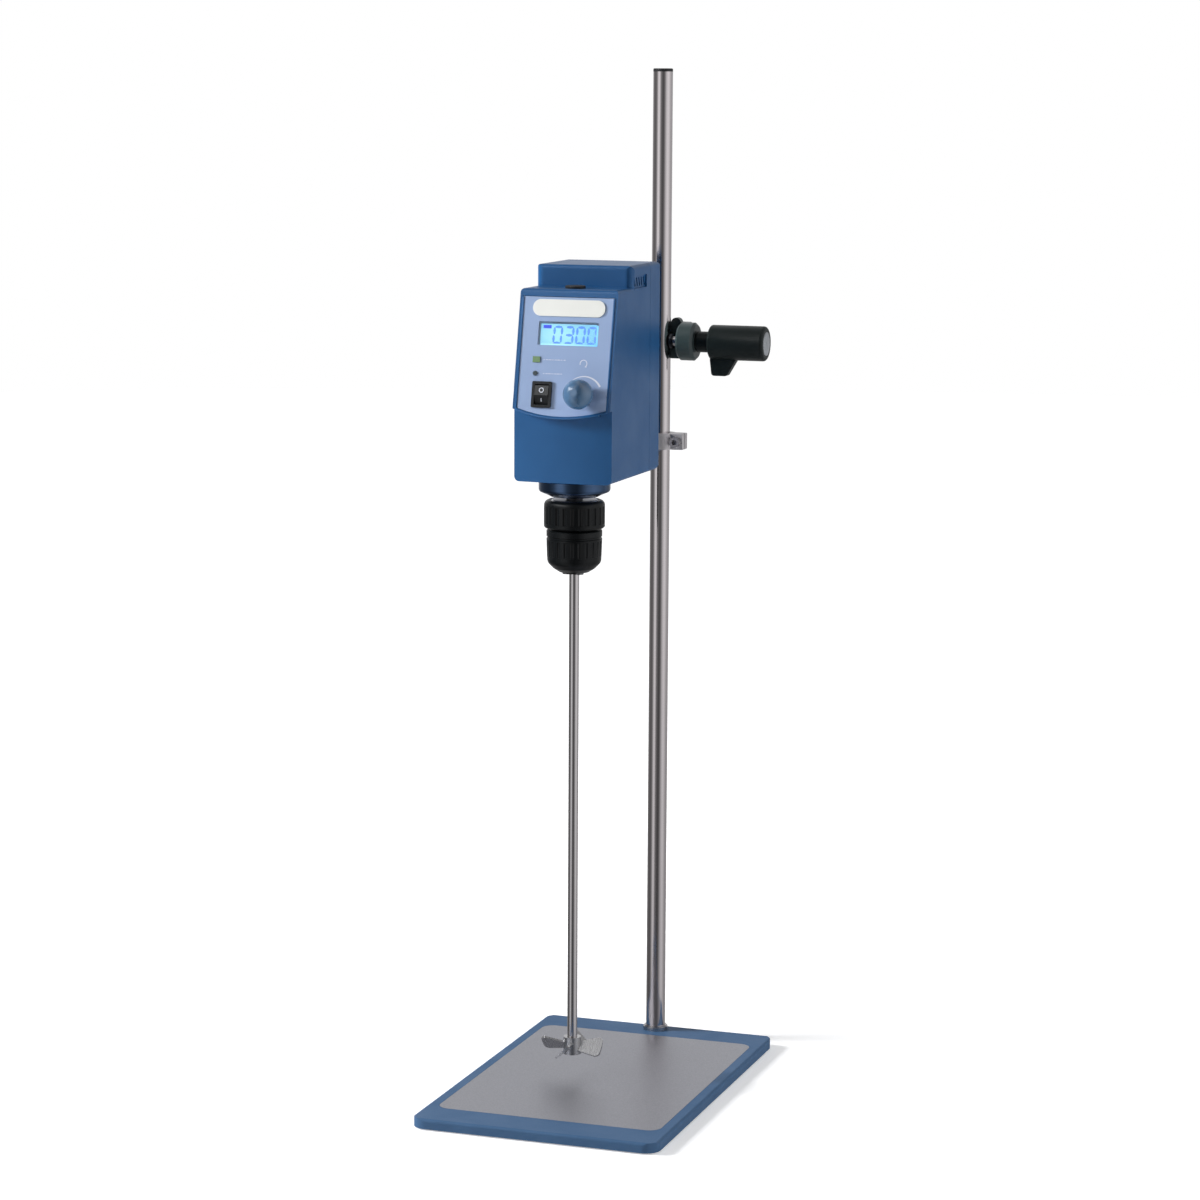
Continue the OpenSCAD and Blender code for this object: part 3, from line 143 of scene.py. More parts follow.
# %% [markdown]
# ### Coated and moulded surfaces
# Paint, moulded plastic and rubber are a little cloudy, their shine changes from patch to patch, and a
# fine grain breaks up every reflection. An image could show that, but it would need seams on each piece.
# Noise in space has none, so one wide noise makes the patches and one fine noise makes the grain.

# %% A group for coated and moulded surfaces
mottle, given, place = new_group("mottle", (
    ("Color", "Color", (0.5, 0.5, 0.5, 1)), ("Shade", "Color", (0.4, 0.4, 0.4, 1)),
    ("Patches", "Float", 30), ("Grain", "Float", 1500), ("Depth", "Float", 0.1),
    ("Roughness", "Float", 0.5), ("Spread", "Float", 0.1)))
patches = add(mottle, "TexNoise", {"Vector": place, "Scale": given.outputs["Patches"], "Detail": 4})
grain = add(mottle, "TexNoise", {"Vector": place, "Scale": given.outputs["Grain"], "Detail": 3})
close_group(mottle, given, patches.outputs["Fac"], grain.outputs["Fac"], 0.2 * mm)

# %% [markdown]
# ### Turned, ground and brushed metal
# A tool leaves fine lines on metal. Noise draws them when its coordinates are stretched far more along
# one axis than along the others. With a large number along Z it changes quickly up a rod and hardly at
# all round it, which gives rings. The same lines pick the colour and raise the surface, so both agree.

# %% A group for turned, ground and brushed metal
drawn, given, place = new_group("drawn_lines", (
    ("Color", "Color", (0.7, 0.7, 0.7, 1)), ("Shade", "Color", (0.5, 0.5, 0.5, 1)),
    ("Stretch", "Vector", (10, 10, 3000)), ("Depth", "Float", 0.05),
    ("Roughness", "Float", 0.25), ("Spread", "Float", 0.1)))
stretched = add(drawn, "Mapping", {"Vector": place, "Scale": given.outputs["Stretch"]})
lines = add(drawn, "TexNoise", {"Vector": stretched.outputs[0], "Scale": 1, "Detail": 5})
close_group(drawn, given, lines.outputs["Fac"], lines.outputs["Fac"], 0.1 * mm)

# %% [markdown]
# ## Materials
# One function places a group in a material and joins it to the shader. Numbers that are the same all
# over a surface, such as the coat of a gloss plastic, are typed on the shader's own sockets. Two short
# functions on top of it, `coated` and `metal`, fill in what most finishes of their kind have in common.
# Each call gives a name, two close colours and a roughness. Then come the fineness of the grain, or the
# stretch of the lines, and how deep they are.

# %% A material from a group
def new_material(name):
    material = bpy.data.materials.new(name)
    material.use_nodes = True
    return material, material.node_tree, material.node_tree.nodes["Principled BSDF"]


def finish(name, group, values, **shader_values):
    material, tree, shader = new_material(name)
    pattern = tree.nodes.new("ShaderNodeGroup")
    pattern.node_tree = group
    for label, value in values.items():
        pattern.inputs[label].default_value = value
    for output, socket in (("Color", "Base Color"), ("Roughness", "Roughness"), ("Normal", "Normal")):
        tree.links.new(pattern.outputs[output], shader.inputs[socket])
    for label, value in shader_values.items():
        shader.inputs[label.replace("_", " ")].default_value = value
    return material


def coated(name, colour, shade, rough, grain=1500, depth=0.1, patches=30, spread=0.1, **shader_values):
    return finish(name, mottle, {"Color": tint(*colour), "Shade": tint(*shade), "Patches": patches,
                                 "Grain": grain, "Depth": depth, "Roughness": rough, "Spread": spread},
                  **shader_values)


def metal(name, colour, shade, rough, stretch=(10, 10, 3000), depth=0.05, spread=0.1, **shader_values):
    return finish(name, drawn, {"Color": tint(*colour), "Shade": tint(*shade), "Stretch": stretch,
                                "Depth": depth, "Roughness": rough, "Spread": spread},
                  Metallic=1, **shader_values)


# %% [markdown]
# ### The stand, the clamp and the metal parts
# The plate has a dull blue-grey coat and a pale satin sheet let into it. The rod and the shaft are ground
# bright, so they are the smoothest of the metals, and the turned parts are a little rougher. The clamp is
# cast and painted dark, which its deeper grain shows, and its knobs are a near black plastic.

# %% The finishes of the stand, the clamp and the metal parts
finishes = {
    "plate_paint": coated("plate_paint", (70, 102, 138), (60, 90, 124), 0.56, 2600, 0.25,
                          Specular_IOR_Level=0.25),
    "sheet": metal("sheet_satin", (182, 183, 190), (150, 151, 158), 0.44, (1400, 1400, 1400), 0.3, 0.16),
    "rubber": coated("rubber", (34, 34, 36), (26, 26, 28), 0.8, 2500, 0.3),
    "rod_steel": metal("rod_steel", (212, 206, 207), (200, 194, 196), 0.13, (8, 8, 2500), 0.03, 0.05),
    "steel": metal("turned_steel", (196, 194, 194), (172, 170, 171), 0.27, (60, 60, 4000)),
    "dark_steel": metal("blackened_steel", (78, 80, 84), (58, 60, 64), 0.38, (60, 60, 3000)),
    "cap_black": coated("cap_plastic", (32, 33, 36), (24, 25, 28), 0.5, 2500, 0.15),
    "clamp_paint": coated("clamp_paint", (62, 76, 77), (48, 60, 61), 0.36, 1200, 0.35),
    "knob_black": coated("knob_plastic", (27, 34, 34), (22, 28, 28), 0.38, 1800, 0.2,
                         Specular_IOR_Level=0.2),
    "cast": coated("cast_aluminium", (160, 162, 165), (135, 137, 140), 0.5, 900, 0.5, Metallic=0.9),
    "pulley": metal("turned_aluminium", (190, 190, 192), (165, 165, 168), 0.3),
    "rotor": metal("rotor_stack", (150, 122, 100), (110, 90, 76), 0.45, (5, 5, 5000), 0.4),
    "bearing_steel": metal("bearing_steel", (185, 186, 188), (168, 169, 172), 0.22),
    "jaw_steel": metal("jaw_steel", (150, 150, 154), (120, 120, 124), 0.34),
    "shaft_steel": metal("shaft_steel", (212, 208, 209), (200, 196, 198), 0.14, (8, 8, 2500), 0.03, 0.05),
    "blade_steel": metal("blade_steel", (196, 196, 198), (176, 176, 178), 0.28, (900, 60, 60)),
}
print("finishes so far:", len(finishes))

# %% [markdown]
# ### The head
# The shell is moulded in a strong blue with a faint sheen, the film on its front is a pale blue-violet,
# and the pill-shaped plate a warm white. The control knob shines most, so it has a full clear coat. The
# black pieces differ a little in colour and roughness, because real ones come from different moulds.

# %% The finishes of the head
finishes.update({
    "housing_blue": coated("housing_plastic", (36, 88, 138), (30, 78, 126), 0.38, 2200, 0.14,
                           Coat_Weight=0.1, Coat_Roughness=0.25, Specular_IOR_Level=0.3),
    "fascia": coated("fascia_film", (149, 171, 208), (141, 163, 200), 0.42, 3000, 0.08),
    "pill_white": coated("pill_plate", (238, 239, 234), (230, 231, 226), 0.35, 2500, 0.05),
    "lamp": coated("lamp_lens", (112, 132, 78), (84, 104, 60), 0.2, 900, 0.05, Coat_Weight=0.5),
    "board": coated("circuit_board", (30, 92, 58), (24, 76, 48), 0.4, 1200, 0.2),
    "module": coated("display_body", (60, 64, 68), (50, 54, 58), 0.5),
    "switch_black": coated("switch_plastic", (28, 30, 33), (22, 24, 27), 0.3, 2500, 0.1,
                           Specular_IOR_Level=0.3),
    "knob_blue": coated("knob_blue", (72, 108, 142), (62, 96, 130), 0.28, 2500, 0.06, Coat_Weight=1,
                        Coat_Roughness=0.12),
    "inlet_black": coated("inlet_plastic", (28, 28, 30), (22, 22, 24), 0.45, 2500, 0.15),
    "collar": metal("collar_anodised", (78, 100, 132), (60, 80, 108), 0.16, (40, 40, 3000)),
    "sleeve_black": coated("sleeve_plastic", (12, 15, 17), (8, 11, 13), 0.34, 2000, 0.2,
                           Specular_IOR_Level=0.25),
})
print("finishes so far:", len(finishes))

# %% [markdown]
# ### Finishes of single pieces
# The stop ring and its screw are nickel plated and satin, so they are only about half as mirror-like as
# the ground rod. Two pieces change colour with height. The two lamp lenses are one part, and the lower
# lamp is off and dark. The chuck body is ground bright on top, and below its shoulder it is painted near
# black as painted shade for the dark groove between the sleeves. Cutting them in two would change the model,
# so the height alone picks the colour.

# %% Plated pieces, the lamps and the chuck body
def colour_by_height(material, start, end, lower, upper):
    tree = material.node_tree
    place = add(tree, "TexCoord").outputs["Object"]
    height = add(tree, "SeparateXYZ", {0: place}).outputs["Z"]
    share = add(tree, "MapRange", {"Value": height, "From Min": start * mm, "From Max": end * mm})
    colour = colour_mix(tree, share.outputs["Result"], tint(*lower), tint(*upper))
    tree.links.new(colour, tree.nodes["Principled BSDF"].inputs["Base Color"])
    print(material.name, "changes colour between", start, "and", end, "mm")


own_finish = {
    "stop_ring": coated("nickel_plate", (206, 202, 204), (190, 187, 190), 0.34, 1800, 0.1, Metallic=0.5),
    "ring_screw": coated("plated_screw", (172, 169, 173), (150, 148, 152), 0.3, 1800, 0.1, Metallic=0.6),
    "chuck_body": metal("chuck_body_shaded_below", (225, 225, 228), (205, 205, 208), 0.3),
}
between_lamps, chuck_shoulder = (580, 582), (471.5, 472.5)
colour_by_height(finishes["lamp"], *between_lamps, lower=(34, 52, 58), upper=(104, 136, 92))
# the chuck body's near black below the shoulder is painted shade for the groove between the sleeves
colour_by_height(own_finish["chuck_body"], *chuck_shoulder, lower=(16, 17, 18), upper=(226, 226, 228))

# %% [markdown]
# ### The display's window
# A clear plate covers the display. Alpha would make it vanish, reflections and all. Full transmission
# lets the lit screen show through and still mirrors the room, as a real window does.

# %% Clear glass for the window
finishes["window"], tree, shader = new_material("window_glass")
shader.inputs["Base Color"].default_value = tint(236, 248, 252)
shader.inputs["Roughness"].default_value = 0.03
shader.inputs["Transmission Weight"].default_value = 1
shader.inputs["IOR"].default_value = 1.45
print("finishes in all:", len(finishes))

# %% [markdown]
# ### Dressing the parts
# The frame's record says which finish each part takes, so a loop dresses them all and none is forgotten.
# Only the pieces with a finish of their own are looked up by name.

# %% Give each CAD part its finish
slot_of = {part["node"]: part["material_slot"] for part in frame["record"]["subparts"]}
for name, part in frame["nodes"].items():
    part.data.materials.clear()
    part.data.materials.append(own_finish.get(name, finishes[slot_of[name]]))
print("dressed", len(slot_of), "parts with", len(set(slot_of.values())), "finishes")

# %% [markdown]
# ## The control panel
# The panel leans back, so its pieces are easiest to draw flat and then lay on it. We make a matrix
# whose X runs across the panel, Y up its slope and Z straight out, and draw in millimetres from the
# middle of the panel's lower edge. `piece` turns a finished drawing into an object, gives it its finish
# and says which body it rides on.

# %% A frame of reference on the panel
lean = math.radians(11.5)
panel_foot = Vector((-19, -48.2, 548.5)) * mm
slope_up = Vector((0, math.sin(lean), math.cos(lean)))
slope_out = Vector((0, -math.cos(lean), math.sin(lean)))
panel = Matrix((Vector((1, 0, 0)), slope_up, slope_out)).transposed().to_4x4()
panel.translation = panel_foot
panel_mm = panel @ Matrix.Scale(mm, 4)


def piece(name, shape, material, body, smooth=False):
    mesh = bpy.data.meshes.new(name)
    shape.to_mesh(mesh)
    shape.free()
    mesh.materials.append(material)
    for face in mesh.polygons:
        face.use_smooth = smooth
    new = bpy.data.objects.new(name, mesh)
    bpy.context.collection.objects.link(new)
    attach(new, body)
    print(name, "has", len(mesh.polygons), "faces")
    return new


print("the panel leans back by", round(math.degrees(lean), 1), "degrees")

# %% [markdown]
# ### The lit display
# Behind the clear window lies a lit screen, almost white at its middle and more cyan towards its edge.
# Two thin lines of its light also show along the right and the lower edge of the window. The screen and
# the lines are thin slabs. An image could hold the glow, but it is only a colour that changes with the
# distance from the screen's middle, so a colour ramp on that distance is enough.

# %% The glow of the screen
lit, tree, shader = new_material("lit_screen")
glow_middle = (-7, 58, 0)
glow_falls = (28, 60, 60)
place = add(tree, "TexCoord").outputs["Object"]
offset = add(tree, "VectorMath", {0: place, 1: panel_mm @ Vector(glow_middle)}, operation="SUBTRACT")
squeezed = add(tree, "VectorMath", {0: offset.outputs[0], 1: glow_falls}, operation="MULTIPLY")
away = add(tree, "VectorMath", {0: squeezed.outputs[0]}, operation="LENGTH")
glow = add(tree, "ValToRGB", {"Fac": away.outputs["Value"]})
glow.color_ramp.elements[0].color = tint(188, 238, 248)
glow.color_ramp.elements[1].color = tint(118, 194, 228)
tree.links.new(glow.outputs["Color"], shader.inputs["Base Color"])
tree.links.new(glow.outputs["Color"], shader.inputs["Emission Color"])
shader.inputs["Emission Strength"].default_value = 0.44
shader.inputs["Roughness"].default_value = 0.5
print("the glow ends", round(1000 / glow_falls[0], 1), "mm to the sides of its middle")

# %% The lit screen
screen_size, screen_at, screen_low, screen_high = (45.8, 15.3), (1.4, 59.3), -1.65, -1.45
edge_light_low, edge_light_high = -0.14, -0.08
edge_lights = {"right": ((1.4, 16.0), (25.1, 58.3)), "lower": ((46.6, 1.4), (2.5, 50.85))}


def slab(shape, size, centre, low, high):
    made = bmesh.ops.create_cube(shape, size=1)["verts"]
    bmesh.ops.scale(shape, vec=(size[0], size[1], high - low), verts=made)
    bmesh.ops.translate(shape, vec=(centre[0], centre[1], (low + high) / 2), verts=made)
    return made


shape = bmesh.new()
slab(shape, screen_size, screen_at, screen_low, screen_high)
for size, centre in edge_lights.values():
    slab(shape, size, centre, edge_light_low, edge_light_high)
shape.transform(panel_mm)
piece("lit_screen", shape, lit, "head")

# %% [markdown]
# ### The digits and the icon
# Four blue digits stand on the glow, with a small darker icon at the upper left. Text in a font would
# give round figures, but a display of this kind builds each one from up to seven bars. A bar is a circle
# of only six corners, stretched to a long hexagon, and every figure is a list of the bars that are lit.

# %% The digits
figures, first_figure_at, figure_step, figure_height = "0300", (-7.4, 58.4), 9.3, 12.4
bar_share, bar_half_width, slant, ink_low = 0.98, 1.05, 0.45, -1.42
bars_of = {"0": "abcdef", "3": "abcdg"}
bar_at = {"a": (0, 1, 0), "b": (1, 0.5, 90), "c": (1, -0.5, 90), "d": (0, -1, 0), "e": (-1, -0.5, 90),
          "f": (-1, 0.5, 90), "g": (0, 0, 0)}


def digit(shape, figure, x, y):
    half = figure_height / 4
    for bar in bars_of[figure]:
        side, row, turn = bar_at[bar]
        made = bmesh.ops.create_circle(shape, cap_ends=True, segments=6, radius=1)["verts"]
        bmesh.ops.scale(shape, vec=(half * bar_share, bar_half_width, 1), verts=made)
        bmesh.ops.rotate(shape, verts=made, matrix=Matrix.Rotation(math.radians(turn), 3, "Z"))
        centre = (x + side * half * bar_share + row * slant, y + row * 2 * half, 0)
        bmesh.ops.translate(shape, vec=centre, verts=made)


ink = coated("screen_ink", (96, 156, 240), (84, 142, 236), 0.6, 2000, 0.02,
             Emission_Color=tint(96, 156, 240), Emission_Strength=0.45)
shape = bmesh.new()
for number, figure in enumerate(figures):
    digit(shape, figure, first_figure_at[0] + figure_step * number, first_figure_at[1])
bmesh.ops.translate(shape, vec=(0, 0, ink_low), verts=shape.verts)
shape.transform(panel_mm)
piece("screen_digits", shape, ink, "head")

# %% The icon
icon_size, icon_at, icon_thick, icon_edge = (6.6, 2.6), (-16.2, 64.6), 0.04, 0.015
icon_ink = coated("icon_ink", (52, 76, 220), (44, 64, 208), 0.6, 2000, 0.02,
                  Emission_Color=tint(52, 76, 220), Emission_Strength=0.35)
shape = bmesh.new()
slab(shape, icon_size, icon_at, ink_low, ink_low + icon_thick)
bmesh.ops.bevel(shape, geom=shape.edges, offset=icon_edge, segments=1, profile=0.5, affect="EDGES",
                material=-1)
shape.transform(panel_mm)
piece("screen_icon", shape, icon_ink, "head")

# %% [markdown]
# ### Marks on the panel
# Fine white marks are printed on the film: two rows beside the lamps, a round arrow above the knob and
# a wedge that grows round it. They could be drawn in the film's material, but shapes keep their edges
# sharp from near by. A print has almost no thickness, so each is lifted by only a twentieth of a
# millimetre. The wedge gets wider along its arc, which a spin can't do, so a short function lays the
# faces between two arcs.

# %% The printed marks
print_lift = 0.05
row_starts, row_counts, row_heights = (-16.8, -16.4), (8, 7), (38.8, 28.0)
mark_step, mark_width, mark_growth, mark_height = 2.4, 1.0, 0.5, 0.55
arrow_at, arrow_radius, arrow_width, arrow_tip_at = (15.6, 36.6), 2.8, 0.6, (17.6, 34.4, 0)
knob_at, wedge_radius, wedge_widths = (17.1, 11.6), 15.2, (0.15, 1.6)
arrow_angles, wedge_angles = (-60, 200), (150, 30)


def arc_band(shape, centre, radius, widths, start, end, steps=20):
    rings = []
    for i in range(steps + 1):
        share = i / steps
        angle = math.radians(start + (end - start) * share)
        half = (widths[0] + (widths[1] - widths[0]) * share) / 2
        rings.append([shape.verts.new((centre[0] + r * math.cos(angle), centre[1] + r * math.sin(angle), 0))
                      for r in (radius - half, radius + half)])
    for (a, b), (c, d) in zip(rings, rings[1:]):
        shape.faces.new((a, b, d, c))


white_print = coated("white_print", (226, 230, 240), (216, 220, 232), 0.5, 2500, 0.05)
shape = bmesh.new()
for start, count, row in zip(row_starts, row_counts, row_heights):
    for n in range(count):
        slab(shape, (mark_width + mark_growth * (n % 3), mark_height), (start + mark_step * n, row),
             0, print_lift)
arc_band(shape, arrow_at, arrow_radius, (arrow_width, arrow_width), *arrow_angles)
arrow_tip = bmesh.ops.create_circle(shape, cap_ends=True, segments=3, radius=1.0)["verts"]
bmesh.ops.translate(shape, vec=arrow_tip_at, verts=arrow_tip)
arc_band(shape, knob_at, wedge_radius, wedge_widths, *wedge_angles)
bmesh.ops.translate(shape, vec=(0, 0, print_lift), verts=shape.verts)
bmesh.ops.recalc_face_normals(shape, faces=shape.faces)
shape.transform(panel_mm)
piece("panel_print", shape, white_print, "head")

# %% [markdown]
# ### The rim round the fascia
# The film lies in a shallow tray of the blue shell. The tray's edge shows as a thin rim down both sides,
# and as a round bead that follows the curve of the lip. The bead is a small circle, spun about the
# centre of the lip's arc, because a spin keeps its thickness even all the way. The lip leans forward, so
# the spun shape is sheared to follow it.

# %% The bead along the lip
lip_half, lip_sag, lip_slope = 40, 6.5, math.radians(34)
rim_half = 37.6
bead_radius, bead_above_lip, bead_out = 1.15, 0.75, 0.1
lip_radius = (lip_half ** 2 + lip_sag ** 2) / (2 * lip_sag)
swing_out = math.asin(rim_half / lip_radius)
centre = Vector((0, 0, lip_radius - lip_sag))
lean_out = Matrix.Identity(4)
lean_out[1][2] = math.tan(lip_slope)
lip_mm = Matrix.Translation(panel_foot) @ Matrix.Scale(mm, 4)

shape = bmesh.new()
bmesh.ops.create_circle(shape, cap_ends=False, segments=14, radius=bead_radius)
bmesh.ops.rotate(shape, verts=shape.verts, matrix=Matrix.Rotation(math.pi / 2, 3, "Y"))
bmesh.ops.translate(shape, verts=shape.verts, vec=(0, -bead_out, -lip_sag + bead_above_lip))
bmesh.ops.rotate(shape, verts=shape.verts, cent=centre, matrix=Matrix.Rotation(swing_out, 3, "Y"))
bmesh.ops.spin(shape, geom=shape.verts[:] + shape.edges[:], cent=centre, axis=(0, 1, 0),
               angle=-2 * swing_out, steps=48, dvec=(0, 0, 0))
bmesh.ops.holes_fill(shape, edges=[edge for edge in shape.edges if edge.is_boundary])
shape.transform(lean_out)
bmesh.ops.recalc_face_normals(shape, faces=shape.faces)
shape.transform(lip_mm)
piece("lip_bead", shape, finishes["housing_blue"], "head", smooth=True)
print("the lip's arc has a radius of", round(lip_radius, 1), "mm")

# %% The rims down the sides
rim_size, rim_inset, rim_middle, rim_low, rim_high, rim_round = (1.6, 87.6), 0.4, 43.6, -0.3, 0.45, 0.3
shape = bmesh.new()
for side in (-1, 1):
    slab(shape, rim_size, (side * (rim_half - rim_inset), rim_middle), rim_low, rim_high)
bmesh.ops.bevel(shape, geom=shape.edges, offset=rim_round, segments=2, profile=0.5, affect="EDGES",
                material=-1)
shape.transform(panel_mm)
piece("fascia_rims", shape, finishes["housing_blue"], "head", smooth=True)

# %% [markdown]
# ### The backing behind the lip's ends
# Where the lip runs out, the tray of the model leaves a narrow slot beside the film, and one would see
# into the head. The solids are fixed by now, so a thin plate of the shell's plastic closes each slot
# from behind, turned a little to lie along the lip's end.

# %% The backing
backing_size, backing_deep, backing_turn, backing_at = (6.0, 1.2), 5.5, math.radians(5.7), (34.4, 4.3)
shape = bmesh.new()
for side in (-1, 1):
    made = slab(shape, backing_size, (0, 0), -backing_deep, 0.0)
    bmesh.ops.rotate(shape, verts=made, matrix=Matrix.Rotation(side * backing_turn, 3, "Z"))
    bmesh.ops.translate(shape, verts=made, vec=(side * backing_at[0], backing_at[1], 0))
shape.transform(lip_mm)
piece("lip_backing", shape, finishes["housing_blue"], "head")

# %% [markdown]
# ### Marks on the rocker
# The rocker carries a ring at its top, for off, and a bar at its foot, for on. They lie on its two sloping
# faces, so each mark is drawn flat and then turned to the slope of its own face. They ride on the rocker
# and not on the head, because they tip over with it.

# %% The rocker's marks
rocker_at, rocker_tip = Vector((-16.7, 11.6, -1.5)) * mm, math.radians(9)
face_slope, ridge, mark_reach = math.atan2(1.9, 7.4), 3.6, 3.9
ring_radius, ring_width = 1.7, 0.6
bar_size, bar_low, bar_high = (0.6, 2.8), 0.02, 0.16
rocker_mm = panel @ Matrix.Translation(rocker_at) @ Matrix.Rotation(rocker_tip, 4, "X") @ Matrix.Scale(mm, 4)


def on_rocker(way):
    turn = Matrix.Rotation(-way * face_slope, 4, "X")
    reach = Matrix.Translation((0, way * mark_reach, 0))
    return rocker_mm @ Matrix.Translation((0, 0, ridge)) @ turn @ reach


shape = bmesh.new()
arc_band(shape, (0, 0), ring_radius, (ring_width, ring_width), 0, 360, 28)
bmesh.ops.remove_doubles(shape, verts=shape.verts, dist=0.001)
shape.transform(on_rocker(1) @ Matrix.Translation((0, 0, print_lift)))
bar = slab(shape, bar_size, (0, 0), bar_low, bar_high)
bmesh.ops.transform(shape, matrix=on_rocker(-1), verts=bar)
piece("rocker_marks", shape, white_print, "power_rocker")

# %% [markdown]
# ## The plugs in the clamp knobs
# Each big clamp knob is moulded round its screw and closed at its end by a slightly domed plug, whose pale
# grey is a painted highlight for the bright knob ends.
# A flat profile is spun round the knob's axis, which suits anything round. The axis runs through the
# middle of the screw, whose box the frame gives us, and the knob's outer end is the plug's seat, so the
# plug stays in place when the knob is made longer.

# %% The knob plugs
# the plugs' pale grey is a painted highlight for the light that the knob ends catch
plug_highlight_grey = coated("plug_painted_highlight", (158, 162, 166), (144, 148, 153), 0.4, 2200, 0.1)
radius_and_rise = [(0, 1.0), (4, 0.86), (7.5, 0.5), (9.6, 0.05), (9.8, -0.4)]


def plug(name, knob, screw, body, outward):
    low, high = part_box(screw)
    seat_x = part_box(knob)[1 if outward > 0 else 0][0] / mm
    middle = [(low[i] + high[i]) / 2 / mm for i in (1, 2)]
    shape = bmesh.new()
    points = [shape.verts.new((rise * outward, radius, 0)) for radius, rise in radius_and_rise]
    for a, b in zip(points, points[1:]):
        shape.edges.new((a, b))
    bmesh.ops.spin(shape, geom=shape.verts[:] + shape.edges[:], cent=(0, 0, 0), axis=(1, 0, 0),
                   angle=2 * math.pi, steps=40, use_merge=True, dvec=(0, 0, 0))
    bmesh.ops.remove_doubles(shape, verts=shape.verts, dist=0.001)
    bmesh.ops.recalc_face_normals(shape, faces=shape.faces)
    bmesh.ops.translate(shape, verts=shape.verts, vec=(seat_x, *middle))
    shape.transform(Matrix.Scale(mm, 4))
    return piece(name, shape, plug_highlight_grey, body, smooth=True)


plug("rod_knob_plug", "rod_knob", "rod_screw", "rod_screw", 1)
plug("arm_knob_plug", "arm_knob", "arm_screw", "arm_screw", -1)

# %% [markdown]
# ## Light, floor and background
# The stirrer stands on a white table in a white room. The camera sees plain white. Shiny surfaces see
# bands of light and dark round the room, which draw the long stripes on the rods, and everything else
# gets a soft fill. One world can do all three, because a Light Path node tells it what kind of ray asks.

# %% World
band_levels = ((0.06, 0.16), (0.11, 0.35), (0.15, 0.95), (0.19, 1.0), (0.235, 0.3), (0.28, 0.14),
               (0.33, 0.1), (0.37, 0.28), (0.42, 0.75), (0.48, 1.0), (0.54, 0.8), (0.605, 0.45),
               (0.64, 0.6), (0.68, 0.35), (0.72, 0.45), (0.77, 0.8), (0.84, 0.8), (0.92, 0.3))
band_join, band_blue = (0.18, 0.18, 0.18, 1), 1.01

world = bpy.data.worlds.new("white_room")
bpy.context.scene.world = world
world.use_nodes = True
tree = world.node_tree
tree.nodes.clear()
path = add(tree, "LightPath")
mirrorlike = add(tree, "Math", {0: path.outputs["Is Glossy Ray"], 1: path.outputs["Is Transmission Ray"]},
                 operation="MAXIMUM")
toward = add(tree, "TexCoord").outputs["Generated"]
around = add(tree, "TexGradient", {"Vector": toward}, gradient_type="RADIAL")
bands = add(tree, "ValToRGB", {"Fac": around.outputs["Fac"]})
stops = bands.color_ramp.elements
for stop, position in zip(stops, (0.0, 1.0)):
    stop.position, stop.color = position, band_join
for position, level in band_levels:
    stops.new(position).color = (level, level, level * band_blue, 1)
split = add(tree, "SeparateXYZ", {0: toward})
lower = add(tree, "MapRange", {"Value": split.outputs["Z"], "From Min": -0.3, "From Max": -0.08,
                               "To Min": 0.6, "To Max": 1.0})
fill = add(tree, "Background", {"Color": (0.9, 0.95, 1, 1), "Strength": 0.1})
seen = add(tree, "Background", {"Color": (1, 1, 1, 1), "Strength": 1})
mirrored = add(tree, "Background", {"Color": bands.outputs["Color"], "Strength": lower.outputs["Result"]})
soft = add(tree, "MixShader", {0: mirrorlike.outputs[0], 1: fill.outputs[0], 2: mirrored.outputs[0]})
room = add(tree, "MixShader", {0: path.outputs["Is Camera Ray"], 1: soft.outputs[0], 2: seen.outputs[0]})
tree.links.new(room.outputs[0], add(tree, "OutputWorld").inputs["Surface"])
print("the room has", len(stops), "stops of light and dark")

# %% [markdown]
# Five area lamps shape the form. The key lamp stands at the left, a wide one at the right, a small low
# one beside the plate, and weak ones in front and above soften the shadows. They light the surfaces but
# aren't mirrored in them. The sixth, the window, is the other way round: it lights nothing, and gives the
# knob and the glossy edges their highlight.

# %% Lamps
def lamp(name, place, target, size, power, lights=True, mirrored=False):
    data = bpy.data.lights.new(name, "AREA")
    data.shape = "RECTANGLE"
    data.size, data.size_y = size
    data.energy = power
    holder = bpy.data.objects.new(name, data)
    holder.location = place
    holder.rotation_euler = (Vector(target) - Vector(place)).to_track_quat("-Z", "Y").to_euler()
    holder.visible_diffuse, holder.visible_glossy = lights, mirrored
    bpy.context.collection.objects.link(holder)


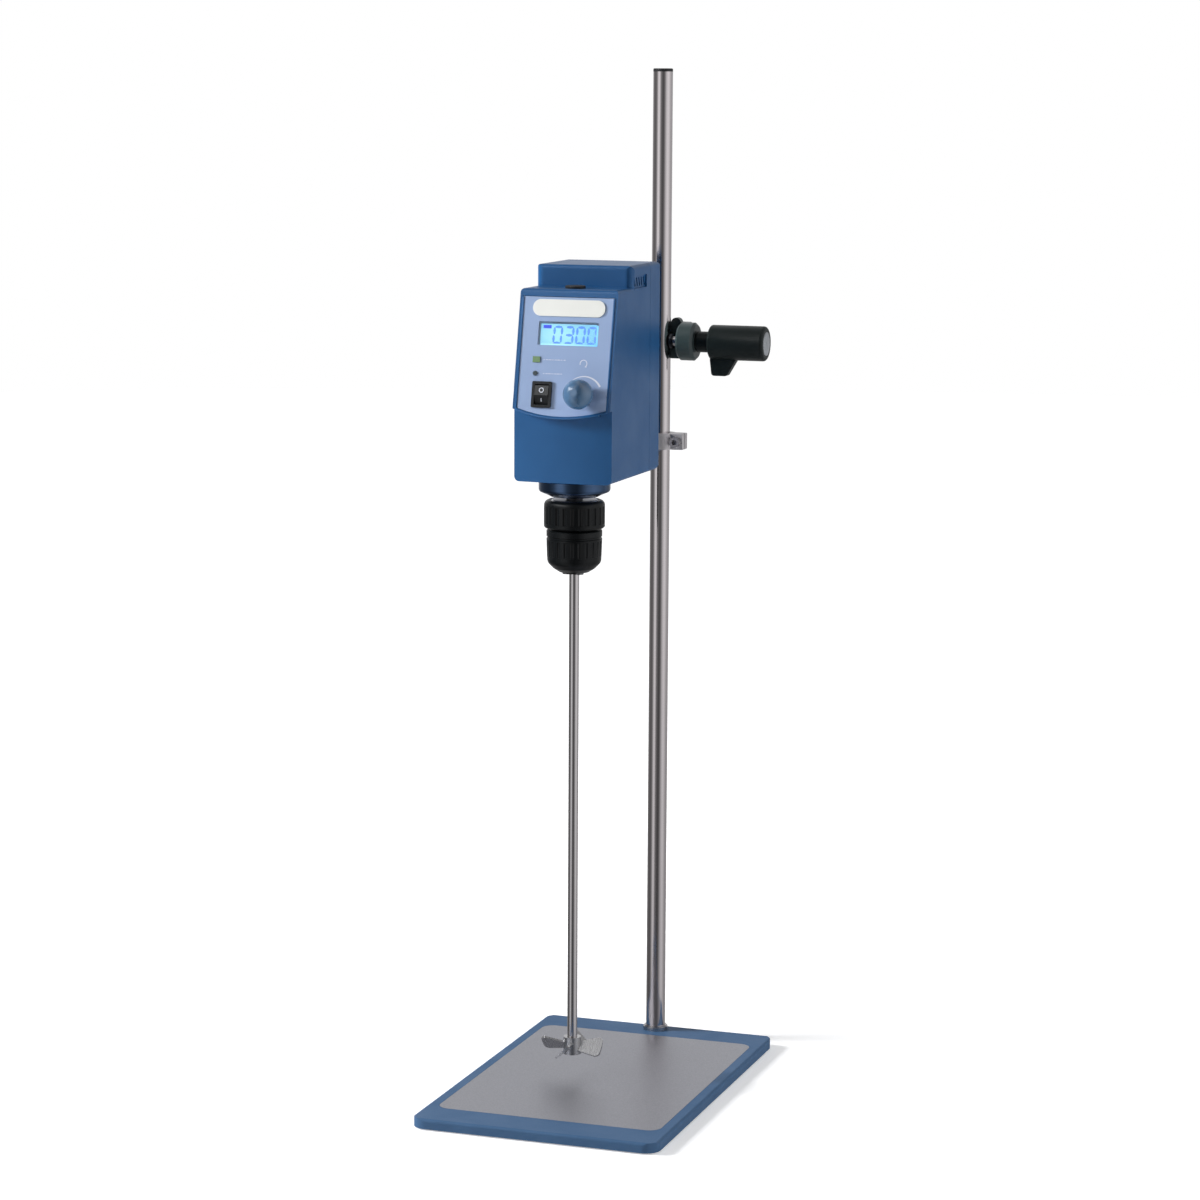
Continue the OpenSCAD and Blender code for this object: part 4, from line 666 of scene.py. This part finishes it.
lamp("key", place=(-2.1, -0.7, 1.25), target=(0, 0, 0.5), size=(0.5, 0.7), power=90)
lamp("front", place=(-0.5, -2.6, 1.2), target=(0, 0, 0.5), size=(0.8, 0.8), power=3)
lamp("side", place=(2.1, 0.5, 0.7), target=(0, 0, 0.35), size=(1.1, 1.6), power=17)
lamp("low", place=(0.95, -0.25, 0.16), target=(0.1, -0.1, 0.01), size=(0.5, 0.12), power=1.6)
lamp("top", place=(0.1, -0.1, 2.4), target=(0, 0, 0.3), size=(1.2, 1.2), power=4)
lamp("window", place=(-1.48, -1.33, 1.96), target=(0, 0, 0.57), size=(2.4, 0.7), power=30,
     lights=False, mirrored=True)

# %% [markdown]
# The table fades into the white of the room, so no horizon shows. Near the plate it takes real shadows,
# and further out it glows by itself, for the camera alone, until it is as white as the background.

# %% The white table
table_radius, fade_start, fade_end, glow_near, glow_far = 6, 0.15, 0.7, 0.4, 0.95
table, tree, shader = new_material("white_table")
shader.inputs["Base Color"].default_value = (0.86, 0.86, 0.87, 1)
shader.inputs["Roughness"].default_value = 0.7
shader.inputs["Specular IOR Level"].default_value = 0.1
place = add(tree, "TexCoord").outputs["Object"]
away = add(tree, "VectorMath", {0: place}, operation="LENGTH")
rise = add(tree, "MapRange", {"Value": away.outputs["Value"], "From Min": fade_start,
                              "From Max": fade_end, "To Min": glow_near, "To Max": glow_far})
white = add(tree, "CombineColor", {0: rise.outputs[0], 1: rise.outputs[0], 2: rise.outputs[0]})
tree.links.new(white.outputs[0], shader.inputs["Emission Color"])
path = add(tree, "LightPath")
tree.links.new(path.outputs["Is Camera Ray"], shader.inputs["Emission Strength"])

shape = bmesh.new()
bmesh.ops.create_circle(shape, cap_ends=True, segments=96, radius=table_radius)
mesh = bpy.data.meshes.new("table_top")
shape.to_mesh(mesh)
shape.free()
mesh.materials.append(table)
table_top = bpy.data.objects.new("table_top", mesh)
table_top.visible_glossy = False
bpy.context.collection.objects.link(table_top)
print("the table reaches", table_radius, "m from the origin")
